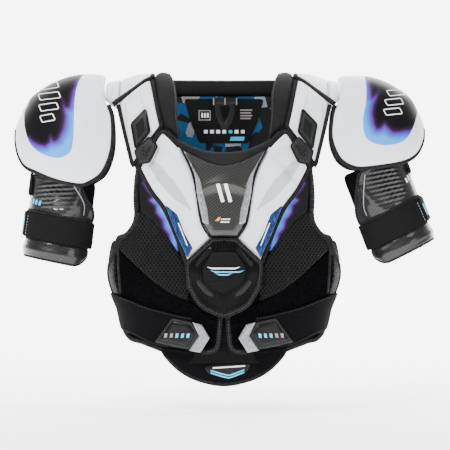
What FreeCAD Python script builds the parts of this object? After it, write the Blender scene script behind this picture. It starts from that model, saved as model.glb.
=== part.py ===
import FreeCAD, Part
import math
import os

from FreeCAD import Placement, Rotation, Vector

# Ice hockey shoulder pads.  Millimetres, +Z up, the wearer looks along -Y and the wearer's left is +X.
# The origin is the middle of the neck opening, at the level of the underside of the shoulder straps.

doc = FreeCAD.newDocument("HockeyShoulderPads")
sheet = doc.addObject("Spreadsheet::Sheet", "Sizes")
SIZES = [
    ("chest_half_width", 152),
    ("chest_half_depth", 112),
    ("shoulder_half_width", 240),
    ("shoulder_girth_half_width", 190),
    ("arch_half_depth", 108),
    ("arch_rise", 118),
    ("arch_foot", -110),
    ("torso_bottom", -460),
    ("roundness", 2.5),
    ("layer_gap", 0.6),
    ("liner_thick", 7),
    ("panel_thick", 4),
    ("plate_thick", 7),
    ("shell_thick", 3),
    ("trim_thick", 1.5),
    ("yoke_thick", 10),
    ("collar_thick", 12),
    ("neck_half_width", 76),
    ("back_collar_height", 26),
    ("strap_thick", 3),
    ("side_gap", 24),
    ("cap_foam_thick", 10),
    ("cap_liner_thick", 4),
    ("arm_radius", 52),
    ("arm_shell_thick", 3),
    ("arm_liner_thick", 6),
    ("arm_clearance", 0.5),
    ("arm_tilt_right", 7),
    ("arm_tilt_left", 21),
    ("arm_pivot_right", 219),
    ("arm_pivot_left", 191),
    ("arm_pivot_height", -62),
    ("link_width", 30),
    ("link_length", 92),
    ("loop_thick", 2),
]
for row, (alias, value) in enumerate(SIZES, start=1):
    sheet.set("A%d" % row, alias)
    sheet.set("B%d" % row, str(value))
    sheet.setAlias("B%d" % row, alias)
doc.recompute()


def size(alias):
    return float(sheet.get(alias))


GAP = size("layer_gap")

# The layers, as distances outward from the inside face of the lining.
LINER = (0.0, size("liner_thick"))
PANEL = (LINER[1] + GAP, LINER[1] + GAP + size("panel_thick"))
PLATE = (LINER[1] + GAP, LINER[1] + GAP + size("plate_thick"))
SHELL = (PLATE[1] + GAP, PLATE[1] + GAP + size("shell_thick"))
TRIM = (SHELL[1] + GAP, SHELL[1] + GAP + size("trim_thick"))
STRAP = (PANEL[1] + GAP, PANEL[1] + GAP + size("strap_thick"))
STRAP_TAB = (STRAP[1] + GAP, STRAP[1] + GAP + size("strap_thick"))
YOKE = (1.0, 1.0 + size("yoke_thick"))
COLLAR = (0.5, 0.5 + size("collar_thick"))
YOKE_TAB = (YOKE[1] + GAP, YOKE[1] + GAP + size("strap_thick"))
INNER_PAD = (-9.0, -3.0)
INNER_LABEL = (-3.0, -GAP)


def oval_wire(half_width, offset, height):
    """A rounded-rectangle girth, grown outward by the offset."""
    half_width = half_width + offset
    half_depth = size("chest_half_depth") + offset
    power = 2.0 / size("roundness")
    points = []
    for step in range(16):
        angle = 2 * math.pi * step / 16
        c = math.cos(angle)
        s = math.sin(angle)
        x = half_width * math.copysign(abs(c) ** power, c)
        y = half_depth * math.copysign(abs(s) ** power, s)
        points.append(Vector(x, y, height))
    curve = Part.BSplineCurve()
    curve.interpolate(points, PeriodicFlag=True)
    return Part.Wire([curve.toShape()])


def arch_wire(offset, x):
    """The shoulders' arch from front to back, grown outward by the offset."""
    half_depth = size("arch_half_depth") + offset
    half_height = size("arch_rise") + offset
    foot = size("arch_foot")
    middle = Vector(x, 0, foot)
    across = Vector(x, half_depth, foot)
    up = Vector(x, 0, foot + half_height)
    if half_height > half_depth:
        ellipse = Part.Ellipse(up, across, middle)
        start, end = -math.pi / 2, math.pi / 2
    else:
        ellipse = Part.Ellipse(across, up, middle)
        start, end = 0.0, math.pi
    arc = Part.Arc(ellipse, start, end).toShape()
    low = foot - 40
    a = arc.Vertexes[0].Point
    b = arc.Vertexes[-1].Point
    a_low = Vector(x, a.y, low)
    b_low = Vector(x, b.y, low)
    leg_a = Part.LineSegment(a_low, a).toShape()
    leg_b = Part.LineSegment(b, b_low).toShape()
    base = Part.LineSegment(b_low, a_low).toShape()
    return Part.Wire([leg_a, arc, leg_b, base])


solid_store = {}


def torso_solid(offset):
    low = size("torso_bottom")
    key = ("torso", round(offset, 3))
    if key not in solid_store:
        solid_store[key] = Part.Face(oval_wire(size("chest_half_width"), offset, low)).extrude(Vector(0, 0, -low))
    return solid_store[key]


def shoulder_solid(offset):
    key = ("shoulder", round(offset, 3))
    if key not in solid_store:
        reach = size("shoulder_half_width")
        arch = Part.Face(arch_wire(offset, -reach)).extrude(Vector(2 * reach, 0, 0))
        low = size("arch_foot") - 30
        girth = Part.Face(oval_wire(size("shoulder_girth_half_width"), offset, low)).extrude(Vector(0, 0, 200))
        solid_store[key] = arch.common(girth)
    return solid_store[key]


def outline_face(runs, y):
    """A face in a plane of constant y.  Each run is a line, or a smooth curve when it has more than two points."""
    edges = []
    for run in runs:
        points = [Vector(x, y, z) for x, z in run]
        if len(points) == 2:
            edges.append(Part.LineSegment(points[0], points[1]).toShape())
        else:
            curve = Part.BSplineCurve()
            curve.interpolate(points)
            edges.append(curve.toShape())
    return Part.Face(Part.Wire(edges))


def closed(points):
    """Straight runs round a list of corners."""
    return [[a, b] for a, b in zip(points, points[1:] + points[:1])]


def mirrored(runs):
    return [[(-x, z) for x, z in run] for run in runs]


def both_halves(runs):
    """A half outline that starts and ends on the middle line, joined to its mirror image."""
    back = [list(reversed(run)) for run in reversed(mirrored(runs))]
    return runs + back


def prism(runs, y_low, y_high):
    return outline_face(runs, y_low).extrude(Vector(0, y_high - y_low, 0))


FAR = 300.0
FRONT = (-FAR, -size("side_gap"))
BACK = (size("side_gap"), FAR)
OVER = (-FAR, FAR)


def panel(span, runs, side, body=torso_solid):
    """A piece of one layer, cut to an outline seen from the front."""
    block = prism(runs, side[0], side[1])
    shape = block.common(body(span[1])).cut(body(span[0]))
    solids = shape.Solids
    if not solids:
        raise ValueError("empty panel")
    if len(solids) > 1:
        solids = [s for s in solids if s.Volume > 0.02 * shape.Volume]
    return solids[0] if len(solids) == 1 else Part.makeCompound(solids)


pieces = []


def add(name, shape, placement=None):
    """A moulded or sewn piece whose form no primitive gives."""
    feature = doc.addObject("Part::Feature", name)
    feature.Shape = shape
    feature.Placement = placement or Placement()
    feature.Label = name
    pieces.append(feature)
    return feature


def add_pair(stem, span, runs, side, body=torso_solid):
    """The same panel on the wearer's right (-X) and left (+X)."""
    add("right_" + stem, panel(span, runs, side, body))
    add("left_" + stem, panel(span, mirrored(runs), side, body))


def make_back():
    lining = both_halves([
        [(0, -17), (-77, -17)],
        [(-77, -17), (-71, -45), (-61, -79)],
        [(-61, -79), (-59, -84)],
        [(-59, -84), (-84, -73)],
        [(-84, -73), (-114, -111)],
        [(-114, -111), (0, -111)],
    ])
    add("upper_back_lining", panel(LINER, lining, BACK, shoulder_solid))
    lining = both_halves([
        [(0, -112), (-115, -112)],
        [(-115, -112), (-126, -130), (-125, -160), (-128, -200), (-146, -222)],
        [(-146, -222), (-175, -235)],
        [(-175, -235), (-175, -368)],
        [(-175, -368), (-110, -376), (-50, -384), (0, -386)],
    ])
    add("back_lining", panel(LINER, lining, BACK))
    plate = both_halves([
        [(0, -116), (-108, -116)],
        [(-108, -116), (-118, -132)],
        [(-118, -132), (-112, -190), (-92, -238)],
        [(-92, -238), (-50, -252), (0, -256)],
    ])
    add("back_plate", panel(PLATE, plate, BACK))
    spine = both_halves([
        [(0, -120), (-22, -124)],
        [(-22, -124), (-16, -236)],
        [(-16, -236), (0, -246)],
    ])
    add("spine_guard", panel(SHELL, spine, BACK))
    scapula = closed([(-34, -124), (-70, -120), (-100, -142), (-96, -190), (-56, -222), (-34, -200)])
    both = [panel(SHELL, scapula, BACK), panel(SHELL, mirrored(scapula), BACK)]
    add("scapula_pads", Part.makeCompound(both))
    kidney = closed([(-12, -262), (-92, -246), (-122, -262), (-122, -298), (-112, -362), (-30, -374), (-12, -366)])
    both = [panel(PANEL, kidney, BACK), panel(PANEL, mirrored(kidney), BACK)]
    add("kidney_pads", Part.makeCompound(both))
    label = closed([(-52, -22), (52, -22), (36, -80), (-36, -80)])
    add("back_label_plate", panel(INNER_LABEL, label, BACK, shoulder_solid))
    band = doc.addObject("Part::Box", "back_collar_band")
    band.setExpression("Length", "2 * Sizes.neck_half_width")
    band.setExpression("Width", "Sizes.collar_thick")
    band.setExpression("Height", "Sizes.back_collar_height")
    band.Placement = Placement(Vector(-size("neck_half_width"), 67, -14), Rotation())
    band.Label = "back_collar_band"
    pieces.append(band)


def make_shoulders():
    collar = [
        [(-101, 40), (-78, 40)],
        [(-78, 40), (-78, -16)],
        [(-78, -16), (-73, -45), (-64, -79)],
        [(-64, -79), (-86, -61)],
        [(-86, -61), (-94, -30), (-101, 4)],
        [(-101, 4), (-101, 40)],
    ]
    add_pair("collar_band", COLLAR, collar, OVER, shoulder_solid)
    yoke = [
        [(-104, 40), (-151, 40)],
        [(-151, 40), (-151, -28)],
        [(-151, -28), (-130, -118)],
        [(-130, -118), (-90, -65)],
        [(-90, -65), (-97, -30), (-104, 4)],
        [(-104, 4), (-104, 40)],
    ]
    add_pair("shoulder_yoke", YOKE, yoke, OVER, shoulder_solid)
    tab = closed([(-112, -39), (-131, -59), (-126, -93), (-107, -72)])
    add("right_adjuster_tab", panel(YOKE_TAB, tab, FRONT, shoulder_solid))
    add("left_adjuster_tab", panel(YOKE_TAB, mirrored(tab), FRONT, shoulder_solid))
    saddle = (-95.0, 95.0)
    bridge = closed([(-152, 40), (-169, 40), (-169, -32), (-158, -41), (-153, -41), (-152, -33)])
    add("right_shoulder_bridge", panel((1.0, 9.0), bridge, saddle, shoulder_solid))
    bridge = closed([(152, 40), (163, 40), (163, -32), (158, -38), (152.5, -38), (152, -33)])
    add("left_shoulder_bridge", panel((1.0, 9.0), bridge, saddle, shoulder_solid))


def make_front():
    lining = both_halves([
        [(0, -106), (-30, -103), (-61, -94)],
        [(-61, -94), (-84, -74)],
        [(-84, -74), (-92, -76)],
        [(-92, -76), (-123, -120)],
        [(-123, -120), (-126, -150), (-126, -190), (-132, -208), (-146, -222)],
        [(-146, -222), (-175, -228)],
        [(-175, -228), (-175, -366)],
        [(-175, -366), (-110, -373), (-50, -380), (0, -382)],
    ])
    add("front_lining", panel(LINER, lining, FRONT))
    lip = both_halves([
        [(0, -99), (-30, -96), (-62, -88)],
        [(-62, -88), (-84, -70)],
        [(-84, -70), (-80, -80)],
        [(-80, -80), (-60, -95), (-30, -110), (0, -119)],
    ])
    add("front_collar_lip", panel(PLATE, lip, FRONT))
    chest = [
        [(-90, -78), (-63, -97)],
        [(-63, -97), (-45, -135), (-39, -165), (-31, -202)],
        [(-31, -202), (-19, -221)],
        [(-19, -221), (-55, -254)],
        [(-55, -254), (-69, -217), (-86, -180), (-105, -155), (-124, -121)],
        [(-124, -121), (-90, -78)],
    ]
    add_pair("chest_plate", PLATE, chest, FRONT)
    shell = both_halves([
        [(0, -120), (-30, -111), (-58, -98)],
        [(-58, -98), (-45, -135), (-39, -165), (-31, -202)],
        [(-31, -202), (-19, -219)],
        [(-19, -219), (0, -219)],
    ])
    add("sternum_shell", panel(SHELL, shell, FRONT))
    flank = [
        [(-54, -103), (-44, -136), (-38, -165), (-30, -201)],
        [(-30, -201), (-22, -203)],
        [(-22, -203), (-27, -162), (-33, -138), (-54, -103)],
    ]
    both = [panel(TRIM, flank, FRONT), panel(TRIM, mirrored(flank), FRONT)]
    add("sternum_flanks", Part.makeCompound(both))
    insert = closed([(-84, -176), (-68, -188), (-58, -213), (-46, -235), (-55, -250), (-68, -218)])
    foil = (SHELL[0], SHELL[0] + size("trim_thick"))
    both = [panel(foil, insert, FRONT), panel(foil, mirrored(insert), FRONT)]
    add("foil_inserts", Part.makeCompound(both))
    flame = closed([(-124, -125), (-106, -157), (-88, -181), (-71, -217), (-70, -238), (-96, -201), (-120, -182)])
    add_pair("flame_panel", PANEL, flame, FRONT)
    mesh = closed([
        (-121, -185), (-97, -204), (-70, -241), (-56, -260), (-56, -306), (-78, -298), (-107, -278),
        (-147, -240), (-147, -226), (-131, -207),
    ])
    add_pair("mesh_panel", PANEL, mesh, FRONT)
    loop = closed([
        (-146, -243), (-107, -281), (-78, -301), (-42, -315), (-6, -334), (-6, -376), (-49, -379),
        (-88, -376), (-131, -366), (-146, -364),
    ])
    add_pair("loop_panel", PANEL, loop, FRONT)
    wing = closed([(-148, -226), (-180, -230), (-180, -362), (-148, -364)])
    add_pair("side_wing", PANEL, wing, FRONT)
    anchor = closed([(-105, -92), (-98, -96), (-106, -116), (-119, -116), (-121, -112)])
    both = [panel(SHELL, anchor, FRONT), panel(SHELL, mirrored(anchor), FRONT)]
    add("chest_anchor_tabs", Part.makeCompound(both))


def make_belly():
    base_span = (PLATE[1] + GAP, PLATE[1] + GAP + 5)
    base = both_halves([
        [(0, -223), (-19, -223)],
        [(-19, -223), (-58, -257)],
        [(-58, -257), (-54, -297)],
        [(-54, -297), (-37, -320), (0, -334)],
    ])
    add("belly_shield", panel(base_span, base, FRONT))
    ridge = closed([(-19, -240), (19, -240), (33, -266), (30, -284), (0, -300), (-30, -284), (-33, -266)])
    add("belly_shield_ridge", panel((base_span[1] + GAP, base_span[1] + GAP + 4), ridge, FRONT))
    pad = both_halves([
        [(0, -330), (-70, -330)],
        [(-70, -330), (-88, -346)],
        [(-88, -346), (-88, -380)],
        [(-88, -380), (-60, -411), (0, -429)],
    ])
    add("extension_pad", panel(INNER_PAD, pad, FRONT))
    label = closed([(-30, -403), (30, -403), (28, -413), (0, -421), (-28, -413)])
    add("extension_label", panel((INNER_PAD[1] + GAP, INNER_PAD[1] + GAP + 1.2), label, FRONT))


def make_waist_straps():
    band = [
        [(-180, -302), (-152, -304), (-111, -321), (-48, -335)],
        [(-48, -335), (-52, -378)],
        [(-52, -378), (-92, -374), (-150, -353), (-180, -350)],
        [(-180, -350), (-180, -302)],
    ]
    side = (-FAR, -1.0)
    add_pair("waist_strap", STRAP, band, side)
    tail = closed([(-180, -302), (-126, -302), (-126, -350), (-180, -350)])
    side = (1.0, FAR)
    both = [panel(STRAP, tail, side), panel(STRAP, mirrored(tail), side)]
    add("strap_back_ends", Part.makeCompound(both))
    tab = closed([(-80, -336), (-50, -341), (-38, -359), (-53, -378), (-100, -368)])
    add_pair("strap_tab", STRAP_TAB, tab, FRONT)
    chevron = closed([(-47, -341), (-34, -344), (-22, -363), (-37, -383), (-51, -380), (-36, -360)])
    add_pair("strap_chevron", STRAP_TAB, chevron, FRONT)


def dome(centre, half_length, radius, span):
    """A closed egg-shaped skin between two offsets from the outer form, turned about a line along X."""
    edges = []
    ends = []
    for offset in span:
        major = half_length - offset
        minor = radius - offset
        middle = Vector(*centre)
        tips = [middle + Vector(-major, 0, 0), middle + Vector(0, 0, minor), middle + Vector(major, 0, 0)]
        if major >= minor:
            ellipse = Part.Ellipse(tips[2], tips[1], middle)
            arc = Part.Arc(ellipse, 0.0, math.pi).toShape()
        else:
            ellipse = Part.Ellipse(tips[1], tips[0], middle)
            arc = Part.Arc(ellipse, -math.pi / 2, math.pi / 2).toShape()
        edges.append(arc)
        ends.append((tips[0], tips[2]))
    edges.append(Part.LineSegment(ends[0][0], ends[1][0]).toShape())
    edges.append(Part.LineSegment(ends[0][1], ends[1][1]).toShape())
    face = Part.Face(Part.Wire(Part.__sortEdges__(edges)))
    return face.revolve(Vector(*centre), Vector(1, 0, 0), 360)


def make_cap(side, centre, half_length, radius, rim):
    """A foam dome over the shoulder joint: its rim is cut to an outline seen from the front."""
    foam = size("cap_foam_thick")
    lining = size("cap_liner_thick")
    cutter = prism(rim, -FAR, FAR)
    add(side + "_shoulder_cap", dome(centre, half_length, radius, (0, foam)).common(cutter))
    skin = (foam + GAP, foam + GAP + lining)
    add(side + "_cap_lining", dome(centre, half_length, radius, skin).common(cutter))


def make_caps():
    rim = [
        [(-171, 60), (-330, 60)],
        [(-330, 60), (-330, -92)],
        [(-330, -92), (-304, -98)],
        [(-304, -98), (-288, -119), (-240, -140), (-206, -146), (-173, -129), (-160, -95)],
        [(-160, -95), (-159, -45)],
        [(-159, -45), (-171, -34)],
        [(-171, -34), (-171, 60)],
    ]
    make_cap("right", (-195, 0, -86), 112, 103, rim)
    rim = [
        [(165, 60), (330, 60)],
        [(330, 60), (330, -78)],
        [(330, -78), (292, -80)],
        [(292, -80), (282, -100), (256, -114), (228, -119), (191, -122), (167, -111), (155, -92)],
        [(155, -92), (154, -45)],
        [(154, -45), (165, -34)],
        [(165, -34), (165, 60)],
    ]
    make_cap("left", (190, 0, -80), 104, 95, rim)


def ring(name, inner, outer, start, sweep, low, high, placement):
    """Part of a tube round the arm, from two cylinders bound to the sheet."""
    shapes = []
    for end, radius, grow in (("_outer", outer, 0), ("_inner", inner, 1)):
        cylinder = doc.addObject("Part::Cylinder", name + end)
        cylinder.setExpression("Radius", radius)
        cylinder.setExpression("Height", "%g + %d" % (high - low, 2 * grow))
        cylinder.setExpression("Angle", "%g" % (360 if grow else sweep))
        cylinder.Placement = Placement(Vector(0, 0, low - grow), Rotation(Vector(0, 0, 1), start))
        shapes.append(cylinder)
    cut = doc.addObject("Part::Cut", name)
    cut.Base = shapes[0]
    cut.Tool = shapes[1]
    cut.Placement = placement
    cut.Label = name
    pieces.append(cut)
    return cut


def make_arm(side, sign, pivot, tilt, top):
    """The upper-arm guard.  sign is -1 on the -X side; the guard is open toward the chest."""
    turn = Rotation(Vector(0, 1, 0), -sign * tilt)
    place = Placement(Vector(sign * pivot, 0, size("arm_pivot_height")), turn)
    outward = 180 if sign < 0 else 0
    shell_in = "Sizes.arm_radius - Sizes.arm_shell_thick"
    liner_out = shell_in + " - Sizes.arm_clearance"
    liner_in = liner_out + " - Sizes.arm_liner_thick"
    ring(side + "_arm_lining", liner_in, liner_out, outward - 140, 280, -192, top + 3, place)
    ring(side + "_arm_guard", shell_in, "Sizes.arm_radius", outward - 120, 240, -128, top, place)
    ring(side + "_arm_cuff", shell_in, "Sizes.arm_radius", outward - 120, 240, -196, -171, place)
    strap_out = "Sizes.arm_radius + Sizes.strap_thick"
    front_start = 182 if sign < 0 else 215
    ring(side + "_arm_strap", "Sizes.arm_radius", strap_out, front_start, 143, -169, -130, place)
    link = doc.addObject("Part::Box", side + "_arm_link")
    link.setExpression("Length", "Sizes.strap_thick")
    link.setExpression("Width", "Sizes.link_width")
    link.setExpression("Height", "Sizes.link_length")
    x = 28 if sign > 0 else -28 - size("strap_thick")
    corner = Vector(x, -size("link_width") / 2, -8 - size("link_length"))
    link.Placement = place.multiply(Placement(corner, Rotation()))
    link.Label = side + "_arm_link"
    pieces.append(link)


def make_hang_loop():
    """Webbing that hangs inside the back of the collar, and its stitched ends."""
    y = 62.0
    thick = size("loop_thick")
    outline = [
        [(-14, -28), (-4, -28)],
        [(-4, -28), (1, -44)],
        [(1, -44), (6, -28)],
        [(6, -28), (17, -28)],
        [(17, -28), (5, -58)],
        [(5, -58), (-2, -58)],
        [(-2, -58), (-14, -28)],
    ]
    add("hang_loop", prism(outline, y, y + thick))
    base = closed([(-18, -13), (21, -13), (21, -26), (-18, -26)])
    add("hang_loop_base", prism(base, y - 1, y + thick + 1))


make_back()
make_shoulders()
make_front()
make_belly()
make_waist_straps()
make_caps()
make_arm("right", -1, size("arm_pivot_right"), size("arm_tilt_right"), -76)
make_arm("left", 1, size("arm_pivot_left"), size("arm_tilt_left"), -60)
make_hang_loop()
doc.recompute()

for item in doc.Objects:
    if "Invalid" in item.State or "Error" in item.State:
        raise RuntimeError("bad object " + item.Name)
os.makedirs("parts", exist_ok=True)
for item in pieces:
    shape = item.Shape
    if shape.isNull() or not shape.isValid() or not shape.Solids:
        raise RuntimeError("bad shape " + item.Label)
    shape.exportStep("parts/" + item.Label + ".step")
    box = shape.BoundBox
    print("%-24s volume %8.0f  x %5.0f %5.0f  y %5.0f %5.0f  z %5.0f %5.0f" % (
        item.Label, shape.Volume, box.XMin, box.XMax, box.YMin, box.YMax, box.ZMin, box.ZMax))
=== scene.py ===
import math

import bmesh
import bpy
import numpy as np
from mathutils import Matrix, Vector
from mathutils.geometry import delaunay_2d_cdt


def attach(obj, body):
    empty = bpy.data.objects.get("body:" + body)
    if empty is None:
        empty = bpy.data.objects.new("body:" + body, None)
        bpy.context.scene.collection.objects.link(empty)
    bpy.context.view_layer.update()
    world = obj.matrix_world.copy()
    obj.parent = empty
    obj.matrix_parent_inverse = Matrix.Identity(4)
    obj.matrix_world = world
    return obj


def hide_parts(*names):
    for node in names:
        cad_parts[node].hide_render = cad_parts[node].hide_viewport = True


# Ice hockey shoulder pads. Shapes are worked out in millimetres and stored in metres; -Y is the front.

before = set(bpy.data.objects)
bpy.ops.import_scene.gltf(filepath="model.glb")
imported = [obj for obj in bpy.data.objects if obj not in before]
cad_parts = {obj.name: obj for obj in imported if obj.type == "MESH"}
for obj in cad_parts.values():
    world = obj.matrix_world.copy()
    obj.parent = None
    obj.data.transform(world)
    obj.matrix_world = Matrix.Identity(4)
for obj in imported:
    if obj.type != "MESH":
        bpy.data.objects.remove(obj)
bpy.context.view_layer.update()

# ---------------------------------------------------------------- body form

# The chest is a rounded oblong of this power; over the shoulder runs an arch, unrolled on the radius ARC.
HALF_WIDTH, HALF_DEPTH = 152.0, 112.0
ARCH_DEPTH, ARCH_RISE, FOOT = 108.0, 118.0, -110.0
ARC = 113.0
POWER = 2.5
MM = 0.001


def smooth(t):
    """Rises gently from nought to one."""
    t = np.clip(t, 0.0, 1.0)
    return t * t * (3 - 2 * t)


def hump(distance, width):
    """A bell curve: one where the distance is nought, falling off over the width."""
    return np.exp(-(distance / width) ** 2)


def soft_min(a, b, p=8.0):
    """The smaller of two lengths, with the corner between them rounded."""
    a = np.maximum(a, 1e-3)
    b = np.maximum(b, 1e-3)
    return (a ** -p + b ** -p) ** (-1 / p)


def girth_width(z):
    """Half the width of the body at a height."""
    z = np.asarray(z, float)
    chest = 19 * smooth((z + 215) / 120)
    ribs = 7 * smooth((z + 330) / 60)
    waist = 16 * smooth((-275 - z) / 85)
    return HALF_WIDTH + chest + ribs - waist


ANGLES = np.linspace(0, math.pi / 2, 400)
GIRTH_X = HALF_WIDTH * np.sin(ANGLES) ** (2 / POWER)
GIRTH_Y = HALF_DEPTH * np.cos(ANGLES) ** (2 / POWER)
GIRTH = np.concatenate([[0], np.cumsum(np.hypot(np.diff(GIRTH_X), np.diff(GIRTH_Y)))])
QUARTER = GIRTH[-1]


def along(x, z, off=10.0):
    """Distance round the body from the front middle for a point seen from the front at x."""
    x = np.asarray(x, float)
    q = np.clip(np.abs(x) / (girth_width(z) + off), 0, 1)
    return np.sign(x) * np.interp(np.arcsin(q ** (POWER / 2)), ANGLES, GIRTH)


def torso(u, z, off):
    """Body form: u round the girth from the front middle, z up, off outward."""
    u, z, off = np.broadcast_arrays(*(np.asarray(a, float) for a in (u, z, off)))
    turn = np.interp(np.minimum(np.abs(u), 2 * QUARTER - np.abs(u)), GIRTH, ANGLES)
    back = np.where(np.abs(u) > QUARTER, 1.0, -1.0)
    w = girth_width(z)
    sx = np.sin(turn) ** (2 / POWER)
    cy = np.cos(turn) ** (2 / POWER)
    nx = sx ** (POWER - 1) / w
    ny = cy ** (POWER - 1) / HALF_DEPTH
    n = np.hypot(nx, ny)
    x = np.sign(u) * (w * sx + off * nx / n)
    y = HALF_DEPTH * cy + off * ny / n
    high = np.sqrt(np.clip(1 - (np.maximum(z - FOOT, 0) / (ARCH_RISE + off)) ** 2, 0.001, 1))
    curved = soft_min(y, (ARCH_DEPTH + off) * high)
    y = y + (curved - y) * smooth((z - FOOT + 15) / 55)
    return np.stack([x, back * y, z], -1)


def over(x, v, off):
    """Shoulder arch: x across, v up the front from the foot of the arch, over and down the back."""
    x, v, off = np.broadcast_arrays(*(np.asarray(a, float) for a in (x, v, off)))
    turn = np.clip(v / ARC, 0, math.pi)
    rise = ARCH_RISE - 0.2 * np.maximum(np.abs(x) - 103, 0)
    z = FOOT + (rise + off) * np.sin(turn) + np.minimum(v, 0) + np.minimum(math.pi * ARC - v, 0)
    depth = (ARCH_DEPTH + off) * np.abs(np.cos(turn))
    side = (HALF_DEPTH + off) * (1 - np.clip(np.abs(x) / (192 + off), 0, 0.99) ** POWER) ** (1 / POWER)
    y = np.where(turn < math.pi / 2, -1.0, 1.0) * soft_min(depth, side)
    y = np.where(depth < 2, np.sign(y) * depth, y)
    return np.stack([x, y, z], -1)


def up_arch(x, z, off=6.0):
    """Distance up the arch for a point seen from the front."""
    rise = ARCH_RISE + off - 0.2 * max(abs(x) - 103, 0)
    if z <= FOOT:
        return z - FOOT
    return ARC * math.asin(min((z - FOOT) / rise, 1.0))


# ---------------------------------------------------------------- mesh tools


def spline(points, closed=False, step=3.0):
    """A smooth line through points."""
    p = np.asarray(points, float)
    if closed:
        p = np.vstack([p[-1], p, p[:2]])
    else:
        p = np.vstack([2 * p[0] - p[1], p, 2 * p[-1] - p[-2]])
    out = []
    for i in range(1, len(p) - 2):
        n = max(int(np.linalg.norm(p[i + 1] - p[i]) / step), 1)
        t = (np.arange(n) / n)[:, None]
        a, b, c, d = p[i - 1], p[i], p[i + 1], p[i + 2]
        bend, twist = 2 * a - 5 * b + 4 * c - d, 3 * b - a - 3 * c + d
        out.append(0.5 * (2 * b + (c - a) * t + bend * t ** 2 + twist * t ** 3))
    if not closed:
        out.append(p[-2][None])
    return np.vstack(out)


def trace(runs, step=3.0):
    """A closed outline from runs: two points make a line, more make a smooth curve."""
    out = []
    for run in runs:
        if len(run) == 2:
            a, b = np.asarray(run, float)
            n = max(int(np.linalg.norm(b - a) / step), 1)
            out.append(a + (b - a) * (np.arange(n) / n)[:, None])
        else:
            out.append(spline(run, step=step)[:-1])
    return np.vstack(out)


def mirror(points):
    return [(-x, z) for x, z in points]


def both_sides(runs):
    """Runs down the right side, followed by their mirror images back up the left."""
    return runs + [mirror(run)[::-1] for run in runs[::-1]]


def across(half):
    """A line from its right half, which ends on the middle line, on to the left."""
    return half + mirror(half[:-1])[::-1]


def whole(half):
    """A closed outline from the points of its right half, both ends of which lie on the middle line."""
    return half + mirror(half[::-1][1:-1])


def round_corners(points, radius=6.0, step=2.0, closed=True):
    """Straight sides with rounded corners."""
    p = [np.asarray(q, float) for q in points]
    n = len(p)
    out = []
    for i in range(n):
        if not closed and i in (0, n - 1):
            out.append(p[i][None])
            continue
        a, b, c = p[i - 1], p[i], p[(i + 1) % n]
        r = min(radius, 0.45 * np.linalg.norm(a - b), 0.45 * np.linalg.norm(c - b))
        s = b + (a - b) / np.linalg.norm(a - b) * r
        e = b + (c - b) / np.linalg.norm(c - b) * r
        t = np.linspace(0, 1, 6)[:, None]
        out.append((1 - t) ** 2 * s + 2 * t * (1 - t) * b + t ** 2 * e)
    line = np.vstack(out)
    if closed:
        line = np.vstack([line, line[:1]])
    return refine(line, step)[: -1 if closed else None]


def refine(line, step):
    """The same line with points no further apart than about the step."""
    out = []
    for a, b in zip(line[:-1], line[1:]):
        n = max(int(round(np.linalg.norm(b - a) / step)), 1)
        out.append(a + (b - a) * (np.arange(n) / n)[:, None])
    out.append(line[-1:])
    return np.vstack(out)


def inside(points, outline):
    """Which points lie inside the outline."""
    x, y = points[:, 0], points[:, 1]
    hit = np.zeros(len(points), bool)
    for (x1, y1), (x2, y2) in zip(outline, np.roll(outline, -1, 0)):
        if y1 == y2:
            continue
        hit ^= ((y1 > y) != (y2 > y)) & (x < (x2 - x1) * (y - y1) / (y2 - y1) + x1)
    return hit


def edge_distance(points, outline):
    """Distance of each point from the outline, worked out for a block of sides at a time."""
    a = outline
    b = np.roll(outline, -1, 0)
    ab = b - a
    best = np.full(len(points), 1e9)
    block = 200
    for s in range(0, len(a), block):
        aa, dd = a[s:s + block], ab[s:s + block]
        t = np.clip(((points[:, None] - aa) * dd).sum(-1) / np.maximum((dd * dd).sum(-1), 1e-9), 0, 1)
        best = np.minimum(best, np.linalg.norm(points[:, None] - (aa + t[..., None] * dd), axis=-1).min(1))
    return best


def build(name, verts, faces, uv=None, sharp=40):
    """A mesh object from millimetres."""
    mesh = bpy.data.meshes.new(name)
    mesh.from_pydata((np.asarray(verts) * MM).tolist(), [], [list(f) for f in faces])
    if uv is not None:
        layer = mesh.uv_layers.new(name="flat")
        index = np.zeros(len(mesh.loops), np.int32)
        mesh.loops.foreach_get("vertex_index", index)
        layer.data.foreach_set("uv", (np.asarray(uv)[index] * 0.1).ravel())
    mesh.polygons.foreach_set("use_smooth", [True] * len(mesh.polygons))
    mesh.set_sharp_from_angle(angle=math.radians(sharp))
    mesh.validate()
    obj = bpy.data.objects.new(name, mesh)
    bpy.context.scene.collection.objects.link(obj)
    return obj


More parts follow.
